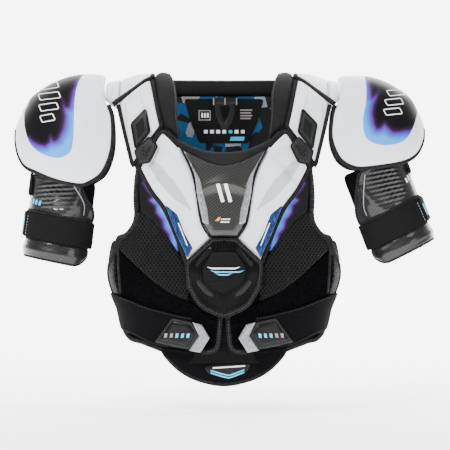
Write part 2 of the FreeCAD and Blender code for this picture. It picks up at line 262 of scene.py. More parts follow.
def panel(name, outline, place, base, thick, edge=4.0, step=4.0, relief=None, lip=0.35, material=None,
          back=0.0,
          under=None):
    """A closed piece cut to an outline and laid on a form; edges are rounded and relief shapes the face."""
    outline = np.asarray(outline, float)
    area = 0.5 * np.sum(outline[:, 0] * np.roll(outline[:, 1], -1) - np.roll(outline[:, 0], -1) * outline[:,
            1])
    if area < 0:
        outline = outline[::-1]
    low, high = outline.min(0), outline.max(0)
    gx = np.arange(low[0], high[0], step)
    gz = np.arange(low[1], high[1], step * 0.87)
    grid = np.array([(x + (step / 2 if j % 2 else 0), z) for j, z in enumerate(gz) for x in gx])
    tangent = np.roll(outline, -1, 0) - np.roll(outline, 1, 0)
    tangent /= np.maximum(np.linalg.norm(tangent, axis=1), 1e-9)[:, None]
    normal = np.stack([-tangent[:, 1], tangent[:, 0]], 1)
    rings = [outline]
    for share in (0.12, 0.35, 0.7, 1.05):
        ring = outline + normal * edge * share
        ok = inside(ring, outline)
        d = np.where(ok, edge_distance(ring, outline), 0)
        rings.append(ring[d > 0.93 * edge * share])
    ok = inside(grid, outline)
    grid = grid[ok]
    if len(grid):
        grid = grid[edge_distance(grid, outline) > edge * 1.05 + step * 0.45]
    points = np.vstack(rings + [grid])
    n = len(outline)
    flat, _, tris, _, _, _ = delaunay_2d_cdt(
        [Vector(p) for p in points.tolist()], [(i, (i + 1) % n) for i in range(n)], [list(range(n))], 1, 0.02)
    flat = np.array([tuple(p) for p in flat])
    count = {}
    for t in tris:
        for a, b in zip(t, list(t[1:]) + [t[0]]):
            key = (a, b)
            count[key] = count.get(key, 0) + 1
    rim = [(a, b) for (a, b) in count if (b, a) not in count]
    d = edge_distance(flat, outline)
    d[list({a for e in rim for a in e})] = 0
    t = np.clip(d / max(edge, 1e-6), 0, 1)
    height = thick * (lip + (1 - lip) * np.sqrt(np.clip(1 - (1 - t) ** 2, 0, 1)))
    if relief is not None:
        height = height + relief(flat[:, 0], flat[:, 1], d)
    top = place(flat[:, 0], flat[:, 1], base + height)
    low_off = base - back * smooth(d / max(edge * 1.5, 1e-6))
    bottom = place(flat[:, 0], flat[:, 1], low_off)
    m = len(flat)
    probe = place(flat[:, 0], flat[:, 1], base + height + 2)
    a, b, c = (top[[t[k] for t in tris]] for k in range(3))
    facing = np.sum(np.cross(b - a, c - a) * (probe - top)[[t[0] for t in tris]])
    flip = facing < 0
    faces = []
    for t in tris:
        up = tuple(t) if not flip else tuple(reversed(t))
        faces.append(up)
        faces.append(tuple(i + m for i in reversed(up)))
    for a, b in rim:
        faces.append((b, a, a + m, b + m) if not flip else (a, b, b + m, a + m))
    obj = build(name, np.vstack([top, bottom]), faces, np.vstack([flat, flat]))
    if material:
        obj.data.materials.append(material)
    if under:
        obj.data.materials.append(under)
        for polygon in obj.data.polygons:
            if min(polygon.vertices) >= m:
                polygon.material_index = 1
    return obj


def normals_of(place, line, off):
    """The line laid on a form, and the outward direction at each of its points."""
    lo = place(line[:, 0], line[:, 1], off)
    hi = place(line[:, 0], line[:, 1], off + 1.0)
    n = hi - lo
    return lo, n / np.maximum(np.linalg.norm(n, axis=1), 1e-9)[:, None]


def sweep(name, path, normal, half_width, half_height, closed=False, sides=10, material=None, square=0.75):
    """A band of rounded section along a path; width lies across the surface, height along its normal."""
    p = np.asarray(path, float)
    keep = np.ones(len(p), bool)
    for i in range(1, len(p)):
        if np.linalg.norm(p[i] - p[i - 1]) < 0.2:
            keep[i] = False
    p, normal = p[keep], np.asarray(normal)[keep]
    if closed:
        t = np.roll(p, -1, 0) - np.roll(p, 1, 0)
    else:
        t = np.gradient(p, axis=0)
    t /= np.maximum(np.linalg.norm(t, axis=1), 1e-9)[:, None]
    side = np.cross(t, normal)
    side /= np.maximum(np.linalg.norm(side, axis=1), 1e-9)[:, None]
    up = np.cross(side, t)
    a = np.arange(sides) / sides * 2 * math.pi
    ca = np.sign(np.cos(a)) * np.abs(np.cos(a)) ** square
    sa = np.sign(np.sin(a)) * np.abs(np.sin(a)) ** square
    hw = np.broadcast_to(half_width, (len(p),))
    hh = np.broadcast_to(half_height, (len(p),))
    rings = p[:, None] + side[:, None] * (hw[:, None] * ca)[..., None]
    rings = rings + up[:, None] * (hh[:, None] * sa)[..., None]
    n = len(p)
    faces = []
    for i in range(n if closed else n - 1):
        j = (i + 1) % n
        for k in range(sides):
            after = (k + 1) % sides
            faces.append((i * sides + k, i * sides + after, j * sides + after, j * sides + k))
    if not closed:
        faces.append(tuple(reversed(range(sides))))
        faces.append(tuple((n - 1) * sides + k for k in range(sides)))
    run = np.concatenate([[0], np.cumsum(np.linalg.norm(np.diff(p, axis=0), axis=1))])
    uv = np.stack([np.repeat(run, sides), np.tile(a * 3, n)], 1)
    obj = build(name, rings.reshape(-1, 3), faces, uv, sharp=60)
    bm = bmesh.new()
    bm.from_mesh(obj.data)
    bmesh.ops.recalc_face_normals(bm, faces=bm.faces)
    bm.to_mesh(obj.data)
    bm.free()
    if material:
        obj.data.materials.append(material)
    return obj


def stitches(name, line, place, off, material, pitch=4.2, length=2.8, thick=0.55, closed=False):
    """A row of thread stitches laid along a line on a form."""
    line = np.asarray(line, float)
    if closed:
        line = np.vstack([line, line[:1]])
    path, normal = normals_of(place, line, off)
    run = np.concatenate([[0], np.cumsum(np.linalg.norm(np.diff(path, axis=0), axis=1))])
    verts, faces = [], []

    def value_at(q, values):
        return np.array([np.interp(q, run, values[:, k]) for k in range(3)])

    for s in np.arange(pitch / 2, run[-1] - pitch / 2, pitch):
        at = [value_at(q, path) for q in (s - length / 2, s, s + length / 2)]
        n = value_at(s, normal)
        t = at[2] - at[0]
        t /= max(np.linalg.norm(t), 1e-9)
        b = np.cross(t, n)
        base = len(verts)
        for q, w in ((at[0], 0.35), (at[0] + t * 0.5, 1), (at[2] - t * 0.5, 1), (at[2], 0.35)):
            for k in range(6):
                c, s2 = math.cos(k * math.pi / 3), math.sin(k * math.pi / 3)
                verts.append(q + b * c * thick * w + n * s2 * thick * w)
        for r in range(3):
            for k in range(6):
                after, ring = (k + 1) % 6, base + r * 6
                faces.append((ring + k, ring + after, ring + 6 + after, ring + 6 + k))
        faces.append(tuple(base + k for k in reversed(range(6))))
        faces.append(tuple(base + 18 + k for k in range(6)))
    obj = build(name, verts, faces, np.zeros((len(verts), 2)), sharp=80)
    obj.data.materials.append(material)
    return obj


def inset(outline, distance):
    """The outline moved inward, tidied where it would cross itself."""
    outline = np.asarray(outline, float)
    area = 0.5 * np.sum(outline[:, 0] * np.roll(outline[:, 1], -1) - np.roll(outline[:, 0], -1) * outline[:,
            1])
    if area < 0:
        outline = outline[::-1]
    t = np.roll(outline, -2, 0) - np.roll(outline, 2, 0)
    t /= np.maximum(np.linalg.norm(t, axis=1), 1e-9)[:, None]
    moved = outline + np.stack([-t[:, 1], t[:, 0]], 1) * distance
    ok = inside(moved, outline) & (edge_distance(moved, outline) > 0.9 * distance)
    return moved[ok]


LAST_FRAME = 20


def plump(obj, limit=2.0, voxel=4.0, pressure=4.0):
    """Swells a cushion with the cloth solver: the stuffing pushes its cover out, up to the limit."""
    scene = bpy.context.scene
    remesh = obj.modifiers.new("remesh", "REMESH")
    remesh.mode = "VOXEL"
    remesh.voxel_size = voxel * MM
    mesh = bpy.data.meshes.new_from_object(obj.evaluated_get(bpy.context.evaluated_depsgraph_get()))
    obj.modifiers.clear()
    obj.data = mesh
    rest = np.empty(len(mesh.vertices) * 3)
    mesh.vertices.foreach_get("co", rest)
    cloth = obj.modifiers.new("stuffing", "CLOTH")
    cloth.settings.mass = 0.3
    cloth.settings.tension_stiffness = 20
    cloth.settings.compression_stiffness = 12
    cloth.settings.shear_stiffness = 8
    cloth.settings.bending_stiffness = 1.5
    cloth.settings.use_pressure = True
    cloth.settings.uniform_pressure_force = pressure
    cloth.settings.effector_weights.gravity = 0
    cloth.point_cache.frame_start = 1
    cloth.point_cache.frame_end = LAST_FRAME
    for frame_number in range(1, LAST_FRAME + 1):
        scene.frame_set(frame_number)
    swollen = obj.evaluated_get(bpy.context.evaluated_depsgraph_get()).to_mesh()
    moved = np.empty(len(rest))
    swollen.vertices.foreach_get("co", moved)
    shift = (moved - rest).reshape(-1, 3)
    far = np.linalg.norm(shift, axis=1)
    shift *= np.minimum(1, limit * MM / np.maximum(far, 1e-9))[:, None]
    obj.modifiers.clear()
    scene.frame_set(1)
    mesh.vertices.foreach_set("co", (rest.reshape(-1, 3) + shift).ravel())
    subdivide = obj.modifiers.new("smooth", "SUBSURF")
    subdivide.levels = subdivide.render_levels = 1
    mesh = bpy.data.meshes.new_from_object(obj.evaluated_get(bpy.context.evaluated_depsgraph_get()))
    obj.modifiers.clear()
    obj.data = mesh
    mesh.polygons.foreach_set("use_smooth", [True] * len(mesh.polygons))
    return obj


def first(sign, node):
    """A CAD node shared by a pair of pieces is stood for by the right one."""
    return node if sign > 0 else None


class Layer:
    """Makes pieces that lie on one form and ride on one body."""

    def __init__(self, body, place):
        self.body, self.place = body, place

    def fix(self, obj, node=None, slot=None, fill=None):
        """Attaches a piece to its body and hides the CAD node it stands for; the slot and the fill of a
        padded one are not used.
        """
        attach(obj, self.body)
        if node:
            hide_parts(node)
        return obj

    def panel(self, name, outline, base, thick, place=None, swell=None, node=None, slot=None, fill=None,
              **shape):
        obj = panel(name, outline, place or self.place, base, thick, **shape)
        if swell:
            plump(obj, *swell)
        return self.fix(obj, node, slot, fill)

    def band(self, name, line, off, width, height, material=None, closed=False):
        path, normal = normals_of(self.place, np.asarray(line, float), off)
        self.fix(sweep(name, path, normal, width / 2, height / 2, closed=closed, material=material or TAPE))

    def wire(self, name, line, off, half_width, half_height, **look):
        self.fix(sweep(name, *normals_of(self.place, line, off), half_width, half_height, **look))

    def stitch(self, name, line, off, material=None, **thread):
        self.fix(stitches(name, line, self.place, off, material or THREAD, **thread))


FRONT, BELLY, EXTENSION = (Layer(body, torso) for body in ("front_panel", "belly_guard", "extension"))
YOKES, LOOP = Layer("shoulder_harness", over), Layer("hang_loop", over)
SIDES = ("right", 1), ("left", -1)


# ---------------------------------------------------------------- materials


TURN = 6.283  # one full wave, in radians


class Finish:
    """A procedural material; patterns read the flat coordinates, in centimetres, or the object's own."""

    def __init__(self, name, colour, rough=0.6, **more):
        self.material = bpy.data.materials.new(name)
        self.material.use_nodes = True
        self.tree = self.material.node_tree
        self.shader = self.tree.nodes["Principled BSDF"]
        self.set("Base Color", (*colour, 1))
        self.set("Roughness", rough)
        for key, value in more.items():
            self.set(key.replace("_", " "), value)
        self.coords = self.tree.nodes.new("ShaderNodeTexCoord")
        self.flat = self.coords.outputs["UV"]
        self.solid = self.coords.outputs["Object"]

    def set(self, key, value):
        socket = self.shader.inputs[key]
        if isinstance(value, bpy.types.NodeSocket):
            self.tree.links.new(value, socket)
        else:
            socket.default_value = value

    def node(self, kind, out=0, **values):
        """Adds a node; p_ sets a property, i and a number an input by place, other keys one by name."""
        n = self.tree.nodes.new(kind)
        for key, value in values.items():
            if key.startswith("p_"):
                setattr(n, key[2:], value)
                continue
            numbered = key[0] == "i" and key[1:].isdigit()
            socket = n.inputs[int(key[1:]) if numbered else key.replace("_", " ")]
            if isinstance(value, bpy.types.NodeSocket):
                self.tree.links.new(value, socket)
            else:
                socket.default_value = value
        return n.outputs[out]

    def math(self, operation, a, b=0.0, c=0.0):
        return self.node("ShaderNodeMath", p_operation=operation, i0=a, i1=b, i2=c)

    def parts(self, source=None):
        n = self.tree.nodes.new("ShaderNodeSeparateXYZ")
        self.tree.links.new(source or self.flat, n.inputs[0])
        return n.outputs[0], n.outputs[1], n.outputs[2]

    def noise(self, scale, detail=2.0, source=None, distortion=0.0, rough=0.5):
        return self.node("ShaderNodeTexNoise", Vector=source or self.solid, Scale=scale, Detail=detail,
                         Roughness=rough, Distortion=distortion)

    def tint(self, value, *stops):
        """Colours the surface along a ramp of (position, colour) stops."""
        self.set("Base Color", self.ramp(value, *stops))

    def ramp(self, value, *stops):
        n = self.tree.nodes.new("ShaderNodeValToRGB")
        self.tree.links.new(value, n.inputs[0])
        elements = n.color_ramp.elements
        while len(elements) < len(stops):
            elements.new(0.5)
        for e, (at, colour) in zip(elements, stops):
            e.position = at
            e.color = (*colour, 1)
        return n.outputs[0]

    def mix(self, share, below, colour):
        n = self.tree.nodes.new("ShaderNodeMix")
        n.data_type = "RGBA"
        self.tree.links.new(share, n.inputs[0])
        self.tree.links.new(below, n.inputs[6])
        n.inputs[7].default_value = (*colour, 1)
        return n.outputs[2]

    def bump(self, height, strength=0.3, distance=0.0005):
        self.set("Normal", self.node("ShaderNodeBump", Height=height, Strength=strength, Distance=distance))

    def wave(self, at, scale):
        return self.math("SINE", self.math("MULTIPLY", at, scale * TURN))

    def knit(self, scale):
        """A fine knit that reads the object's own space, for remeshed cushions."""
        x, y, z = self.parts(self.solid)
        one = self.wave(self.math("ADD", x, y), scale)
        return self.math("MULTIPLY", one, self.wave(self.math("SUBTRACT", z, x), scale))

    def weave(self, scale):
        """Over-and-under threads."""
        x, y, _ = self.parts()
        return self.math("MULTIPLY", self.wave(x, scale), self.wave(y, scale))


def foam_white():
    f = Finish("coated_white_foam", (0.68, 0.71, 0.76), 0.42, Specular_IOR_Level=0.3)
    cloud = f.noise(9.0, 3.0)
    f.tint(cloud, (0.35, (0.66, 0.69, 0.74)), (0.65, (0.72, 0.745, 0.785)))
    grain = f.noise(900.0, 2.0)
    f.set("Roughness", f.math("MULTIPLY_ADD", grain, 0.12, 0.36))
    f.bump(grain, 0.12, 0.0003)
    return f.material


def binding_dark():
    f = Finish("bound_edge_tape", (0.01, 0.009, 0.01), 0.8, Specular_IOR_Level=0.07)
    rib = f.noise(260.0, 3.0)
    f.tint(rib, (0.3, (0.005, 0.0045, 0.005)), (0.7, (0.015, 0.0135, 0.015)))
    f.bump(f.noise(1500.0, 2.0), 0.35, 0.0004)
    return f.material


def padding_charcoal():
    f = Finish("charcoal_padding", (0.01, 0.009, 0.01), 0.85, Specular_IOR_Level=0.12)
    f.tint(f.noise(14.0, 3.0), (0.3, (0.006, 0.0055, 0.006)), (0.7, (0.012, 0.011, 0.012)))
    f.bump(f.knit(380.0), 0.45, 0.0005)
    return f.material


def carbon(name, scale=8.5, tint=(0.014, 0.014, 0.013), turn=1.5, coat=0.7):
    f = Finish(name, (0.03, 0.03, 0.03), 0.4, Coat_Weight=coat, Coat_Roughness=0.09, Specular_IOR_Level=0.2)
    x, y, _ = f.parts()
    u = f.math("MULTIPLY_ADD", x, scale * math.cos(turn), f.math("MULTIPLY", y, scale * math.sin(turn)))
    v = f.math("MULTIPLY_ADD", y, scale * math.cos(turn), f.math("MULTIPLY", x, -scale * math.sin(turn)))
    cell = f.math("FLOORED_MODULO", f.math("ADD", f.math("FLOOR", u), f.math("FLOOR", v)), 4.0)
    warp = f.math("LESS_THAN", cell, 1.5)
    across = f.math("SINE", f.math("MULTIPLY", f.math("FRACT", u), math.pi))
    down = f.math("SINE", f.math("MULTIPLY", f.math("FRACT", v), math.pi))
    strand = f.math("ADD", f.math("MULTIPLY", warp, across), f.math("MULTIPLY", f.math("SUBTRACT", 1.0, warp),
            down))
    # The twill's look is painted: the warp lighter than the weft as painted reflection, and each strand
    # lighter along its middle and darker at its edges as painted highlight and shade.
    shade = f.math("MULTIPLY", strand, f.math("MULTIPLY_ADD", warp, 0.75, 0.25))
    light = tuple(c * 2.4 for c in tint)
    f.tint(shade, (0.0, (0.003, 0.003, 0.003)), (0.45, tint), (1.0, light))
    f.bump(strand, 0.25, 0.0003)
    return f.material


def moulded_black():
    f = Finish("moulded_black", (0.004, 0.004, 0.0045), 0.25, Specular_IOR_Level=0.17)
    f.bump(f.noise(700.0, 2.0), 0.2, 0.0003)
    f.set("Roughness", f.math("MULTIPLY_ADD", f.noise(30.0, 2.0), 0.22, 0.14))
    return f.material


def ribbed_black(name="ribbed_black", scale=4.6, along_x=True):
    f = Finish(name, (0.01, 0.01, 0.011), 0.38, Specular_IOR_Level=0.08)
    x, y, _ = f.parts()
    wave = f.wave(x if along_x else y, scale)
    f.tint(f.math("MULTIPLY_ADD", wave, 0.5, 0.5), (0.2, (0.0005, 0.0005, 0.0006)),
           (0.8, (0.004, 0.004, 0.0043)))
    f.bump(wave, 0.7, 0.0009)
    return f.material


def mesh_knit():
    f = Finish("hexagon_mesh_knit", (0.012, 0.012, 0.013), 0.6, Specular_IOR_Level=0.07)
    scale = 1.9
    best = None
    x, y, _ = f.parts()
    for shift in (0.0, 0.5):
        u = f.math("SUBTRACT", f.math("FRACT", f.math("MULTIPLY_ADD", x, scale, shift)), 0.5)
        v = f.math("SUBTRACT", f.math("FRACT", f.math("MULTIPLY_ADD", y, scale / 1.5, shift)), 0.5)
        v = f.math("MULTIPLY", v, 1.25)
        d = f.math("SQRT", f.math("ADD", f.math("MULTIPLY", u, u), f.math("MULTIPLY", v, v)))
        best = d if best is None else f.math("MINIMUM", best, d)
    wobble = f.noise(60.0, 2.0)
    edge = f.math("MULTIPLY_ADD", wobble, 0.10, f.math("SUBTRACT", best, 0.05))
    f.tint(edge, (0.20, (0.0002, 0.0002, 0.0003)), (0.27, (0.0024, 0.0023, 0.0025)),
           (0.42, (0.0085, 0.008, 0.0085)))
    f.bump(f.ramp(edge, (0.18, (0, 0, 0)), (0.33, (1, 1, 1))), 0.9, 0.0018)
    return f.material


def loop_pile():
    f = Finish("brushed_loop_pile", (0.002, 0.002, 0.0025), 1.0, Specular_IOR_Level=0.0)
    fuzz = f.noise(420.0, 4.0, rough=0.8)
    f.tint(fuzz, (0.35, (0.0006, 0.0006, 0.0009)), (0.62, (0.0035, 0.0035, 0.004)),
           (0.8, (0.012, 0.012, 0.0125)))
    f.bump(fuzz, 0.8, 0.0012)
    return f.material


def elastic_web(name="woven_elastic", tint=(0.003, 0.003, 0.0035)):
    f = Finish(name, tint, 0.9, Specular_IOR_Level=0.03)
    x, y, _ = f.parts()
    rib, fine = f.wave(y, 5.5), f.wave(x, 9.0)
    web = f.math("ADD", f.math("MULTIPLY", rib, 0.7), f.math("MULTIPLY", fine, 0.3))
    dark = tuple(c * 0.55 for c in tint)
    light = tuple(c * 1.7 for c in tint)
    f.tint(f.math("MULTIPLY_ADD", web, 0.5, 0.5), (0.1, dark), (0.9, light))
    f.bump(web, 0.4, 0.0005)
    return f.material


def tab_rubber():
    f = Finish("matte_tab", (0.009, 0.009, 0.0095), 0.45, Specular_IOR_Level=0.2)
    ring = f.node("ShaderNodeTexWave", Vector=f.flat, Scale=1.1, Distortion=6.0, Detail=1.0, Detail_Scale=0.6)
    f.tint(ring, (0.2, (0.004, 0.0042, 0.0045)), (0.8, (0.012, 0.0123, 0.0128)))
    f.bump(ring, 0.45, 0.0006)
    return f.material


def silver():
    f = Finish("silver_film", (0.45, 0.47, 0.50), 0.36, Metallic=0.6, Coat_Weight=0.1)
    # Light and dark streaks in the film's colour: painted reflection.
    streak = f.noise(2.2, 4.0, source=f.node("ShaderNodeMapping", Vector=f.flat, Scale=(6.0, 0.8, 1.0)))
    f.tint(streak, (0.3, (0.10, 0.105, 0.115)), (0.5, (0.22, 0.225, 0.24)), (0.7, (0.48, 0.49, 0.51)))
    return f.material


def foil_blue():
    f = Finish("blue_foil", (0.02, 0.09, 0.3), 0.35, Metallic=0.35, Coat_Weight=0.25, Coat_Roughness=0.12,
               Specular_IOR_Level=0.2)
    # Dark and light blue streaks in the foil's colour: painted reflection.
    drawn_out = f.node("ShaderNodeMapping", Vector=f.flat, Rotation=(0, 0, 0.6), Scale=(5.5, 1.1, 1.0))
    streak = f.noise(1.6, 6.0, source=drawn_out, distortion=1.2)
    f.tint(streak, (0.34, (0.001, 0.004, 0.015)), (0.50, (0.003, 0.016, 0.07)), (0.62, (0.007, 0.055, 0.22)),
           (0.80, (0.05, 0.22, 0.58)))
    f.bump(streak, 0.5, 0.001)
    return f.material


def lining_navy():
    f = Finish("patterned_lining", (0.005, 0.03, 0.08), 0.8, Specular_IOR_Level=0.2)
    turned = f.node("ShaderNodeMapping", Vector=f.flat, Rotation=(0, 0, 0.35), Scale=(0.55, 0.38, 1.0))
    chance, other_chance, _ = f.parts(f.node("ShaderNodeTexVoronoi", out=1, Vector=turned, Scale=1.0))
    x, y, _ = f.parts()
    dots = f.math("MULTIPLY", f.math("SINE", f.math("MULTIPLY", x, 30.0)),
                  f.math("SINE", f.math("MULTIPLY", y, 30.0)))
    navy = f.ramp(chance, (0.0, (0.002, 0.002, 0.003)), (0.42, (0.003, 0.0035, 0.005)),
                  (0.43, (0.002, 0.045, 0.12)), (1.0, (0.004, 0.065, 0.16)))
    hatch = f.math("MULTIPLY", f.math("GREATER_THAN", other_chance, 0.80), f.math("GREATER_THAN", dots, 0.1))
    f.set("Base Color", f.mix(hatch, navy, (0.45, 0.48, 0.5)))
    f.bump(f.weave(8.0), 0.3, 0.0004)
    return f.material


def flame(name):
    """Printed flames: the first flat coordinate is the distance inside the flame's front, in centimetres."""
    f = Finish(name, (0.02, 0.02, 0.03), 0.4, Specular_IOR_Level=0.04)
    inward, _, _ = f.parts()
    wisp = f.noise(55.0, 3.0)
    value = f.math("MULTIPLY_ADD", f.math("SUBTRACT", wisp, 0.5), 0.35, inward)
    glow = f.math("MULTIPLY_ADD", value, 0.4, 0.3)
    f.tint(glow, (0.10, (0.006, 0.0055, 0.0065)), (0.28, (0.022, 0.010, 0.034)), (0.40, (0.075, 0.022, 0.19)),
           (0.52, (0.05, 0.06, 0.42)), (0.66, (0.03, 0.15, 0.55)), (0.85, (0.05, 0.25, 0.68)))
    f.bump(f.noise(900.0, 2.0), 0.08, 0.0003)
    return f.material


def heat(obj, front, scale=1.0):
    """Writes the distance inside a flame's front, seen from the front, as the piece's flat coordinates."""
    mesh = obj.data
    co = np.empty(len(mesh.vertices) * 3)
    mesh.vertices.foreach_get("co", co)
    seen = co.reshape(-1, 3)[:, [0, 2]] * 1000
    front = np.asarray(front, float)
    d = edge_distance(seen, front) * np.where(inside(seen, front), 1.0, -1.0) * scale
    index = np.zeros(len(mesh.loops), np.int32)
    mesh.loops.foreach_get("vertex_index", index)
    flat = np.stack([d * 0.1, seen[:, 1] * 0.1], 1)
    mesh.uv_layers[0].data.foreach_set("uv", flat[index].ravel())


def plain(name, colour, rough=0.5, **more):
    return Finish(name, colour, rough, **more).material


WHITE = foam_white()
TAPE = binding_dark()
PADDING = padding_charcoal()
CARBON = carbon("carbon_weave")
CARBON_ARM = carbon("carbon_weave_arm", 7.0, (0.008, 0.008, 0.0085), 0.3, 0.5)
BLACK = moulded_black()
RIBBED = ribbed_black()
RIBBED_ACROSS = ribbed_black("ribbed_black_across", 4.0, False)
MESH = mesh_knit()
PILE = loop_pile()
ELASTIC = elastic_web()
TAB = tab_rubber()
SILVER = silver()
FOIL = foil_blue()
NAVY = lining_navy()
THREAD = plain("black_thread", (0.032, 0.030, 0.032), 0.6, Specular_IOR_Level=0.2)
THREAD_LIGHT = plain("grey_thread", (0.30, 0.30, 0.31), 0.6)
THREAD_WHITE = plain("white_thread", (0.74, 0.77, 0.81), 0.6)
# Grey for the thin lines along seams and grooves in the white foam: painted shadow in the grooves.
SEAM_SHADOW = plain("seam_shadow", (0.35, 0.38, 0.43), 0.6)
# Light grey laid on the lower chest facet as painted shade.
SHADED = plain("shaded_foam", (0.40, 0.42, 0.455), 0.5)
PRINT_WHITE = plain("print_white", (0.82, 0.84, 0.86), 0.45)
PRINT_BLUE = plain("print_blue", (0.06, 0.42, 0.70), 0.4)
PRINT_ORANGE = plain("print_orange", (0.75, 0.22, 0.03), 0.4)
FLAMES = flame("printed_flames")
PRINT_GREY = plain("print_grey", (0.22, 0.19, 0.19), 0.5)
MATTE = plain("matte_black_cloth", (0.004, 0.004, 0.0045), 0.75, Specular_IOR_Level=0.1)
SATIN = plain("satin_webbing", (0.006, 0.006, 0.007), 0.3, Specular_IOR_Level=0.3)
WOVEN = elastic_web("woven_label", (0.009, 0.009, 0.0095))
ELASTIC_FINE = elastic_web("fine_elastic", (0.007, 0.0068, 0.007))

# ---------------------------------------------------------------- front panel


def front(points, off=10.0):
    """Corners or a traced outline, seen from the front or the back, unrolled round the body."""
    p = np.asarray(points, float)
    return np.stack([along(p[:, 0], p[:, 1], off), p[:, 1]], 1)


def cut(points, radius, step, sign=1, off=10.0):
    """A patch with rounded corners, drawn as seen from the front, then unrolled; sign -1 is the left."""
    return front(round_corners(points, radius, step) * [sign, 1], off)


def curve(points, step, sign=1, off=10.0):
    """A smooth line, given as seen from the front and unrolled."""
    return front(spline(points, step=step) * [sign, 1], off)


def make_front_lining():
    half = [
        (0, -106), (-30, -103), (-61, -94), (-84, -76), (-93, -77), (-108, -97), (-123, -120), (-127, -140),
        (-127, -189), (-131, -204), (-143, -219), (-153, -223), (-158, -240), (-162, -256)]
    u = front(half, 8.0)
    side_u = QUARTER - 24
    lower = [(-side_u, -262), (-side_u, -350), (-side_u + 8, -362)]
    bottom = front([(-135, -368), (-107, -375), (-88, -381), (-49, -385), (-14, -381), (0, -380)], 8.0)
    left = np.vstack([u, lower, bottom])
    right = (left * [-1, 1])[::-1]
    outline = refine(np.vstack([spline(left, step=4)[:-1], spline(right, step=4)[:-1]]), 4.0)[:-1]
    FRONT.panel("front_lining_body", outline, 0.0, 7.0, step=7.0, material=ELASTIC, under=NAVY,
                node="front_lining", slot="black_knit", fill=0.5)


def chest_relief(sign):
    def relief(u, z, d):
        x = u * sign
        ridge = (x + 92) * 0.62 - (z + 150) * 0.5
        facet = 4.6 * smooth((ridge + 3) / 6) - 4.4
        hollow = -2.5 * hump((x + 95) * 0.7 + (z + 150) * 0.9, 13) * smooth((-60 - x) / 30)
        crest = 2.6 * hump(x + 62 + (z + 95) * -0.12, 12)
        return (facet + hollow + crest) * smooth(d / 8)
    return relief


def make_chest():
    for side, sign in SIDES:
        runs = [
            [(-93, -75), (-88, -72), (-80, -78), (-65, -93)],
            [(-65, -93), (-50, -121), (-42, -142), (-37, -170), (-32, -200)],
            [(-32, -200), (-19, -221)],
            [(-19, -221), (-54, -254)],
            [(-54, -254), (-62, -234), (-70, -213), (-84, -180), (-103, -154), (-121, -122)],
            [(-121, -122), (-93, -75)],
        ]
        line = front(trace(runs, 2.5) * [sign, 1])
        FRONT.panel(f"{side}_chest_plate_moulding", line, 7.6, 8.5, edge=7.0, step=3.5,
                    relief=chest_relief(sign), material=WHITE, node=f"{side}_chest_plate", slot="white_foam",
                    fill=0.8)
        shoulder = spline([(-66, -92), (-80, -77), (-88, -70.5), (-94, -73), (-106, -92)], step=2.5)
        flank = spline([(-124, -119), (-106, -153), (-86, -181), (-70, -217), (-55, -256)], step=2.5)
        hem = front(np.vstack([shoulder, flank]) * [sign, 1])
        FRONT.band(f"{side}_chest_plate_binding", hem, 13.0, 6.6, 4.2)
        foil = [(-84, -175), (-80, -177), (-67, -188), (-57, -213), (-45, -235), (-53, -250), (-68, -217)]
        FRONT.panel(f"{side}_foil_insert", cut(foil, 3, 2, sign), 16.6, 2.6, edge=1.6, step=3.0,
                    material=FOIL, node=first(sign, "foil_inserts"), slot="blue_foil")
        hem = curve([(-84, -174), (-80, -176), (-66.5, -187.5), (-56.5, -213), (-44.5, -235)], 2.5, sign)
        FRONT.wire(f"{side}_foil_edge", hem, 18.2, 0.7, 0.7, material=PRINT_WHITE)
        dash = [(-66, -200), (-64.5, -200), (-52, -232), (-53.5, -232)]
        FRONT.panel(f"{side}_foil_dashes", cut(dash, 0.4, 1.5, sign), 19.1, 0.5, edge=0.4, step=2.0,
                    material=PRINT_WHITE)

        def on_plate(u, z, off):
            return torso(u, z, off + chest_relief(sign)(u, z, 20.0))

        # A thin light grey panel over the lower facet of each chest plate: painted shade where the facet
        # turns away from the light.
        facet = [(-112, -116), (-101, -110), (-80, -132), (-62, -154), (-46, -184), (-70, -168), (-94, -142)]
        FRONT.panel(f"{side}_chest_facet_shade", cut(facet, 5, 2.5, sign), 15.6, 0.7, place=on_plate, edge=0.5,
                    step=3.0, material=SHADED)
        # Three thin grey lines along the plate's contours: painted shadow in engraved grooves.
        for k, shift in enumerate((0, 5, 10)):
            groove = [(-74 + shift * 0.4, -98 - shift), (-92 + shift * 0.5, -94 - shift),
                      (-101 + shift, -112), (-92 + shift, -128), (-70 + shift * 0.6, -140 - shift)]
            path, normal = normals_of(on_plate, curve(groove, 3, sign), 16.0)
            FRONT.fix(sweep(f"{side}_chest_contour_shadow_{k}", path, normal, 0.25, 0.3, sides=6, material=SEAM_SHADOW))


def sternum_relief(u, z, d):
    bowl = -4.5 * smooth((z + 150) / 45) * hump(u, 30)
    roll = 3.2 * hump(z + 143 + 0.012 * u * u, 7) * hump(u, 26)
    crown = 2.5 * (1 - np.clip(np.abs(u) / 34, 0, 1) ** 2)
    return (bowl + roll + crown) * smooth(d / 7)


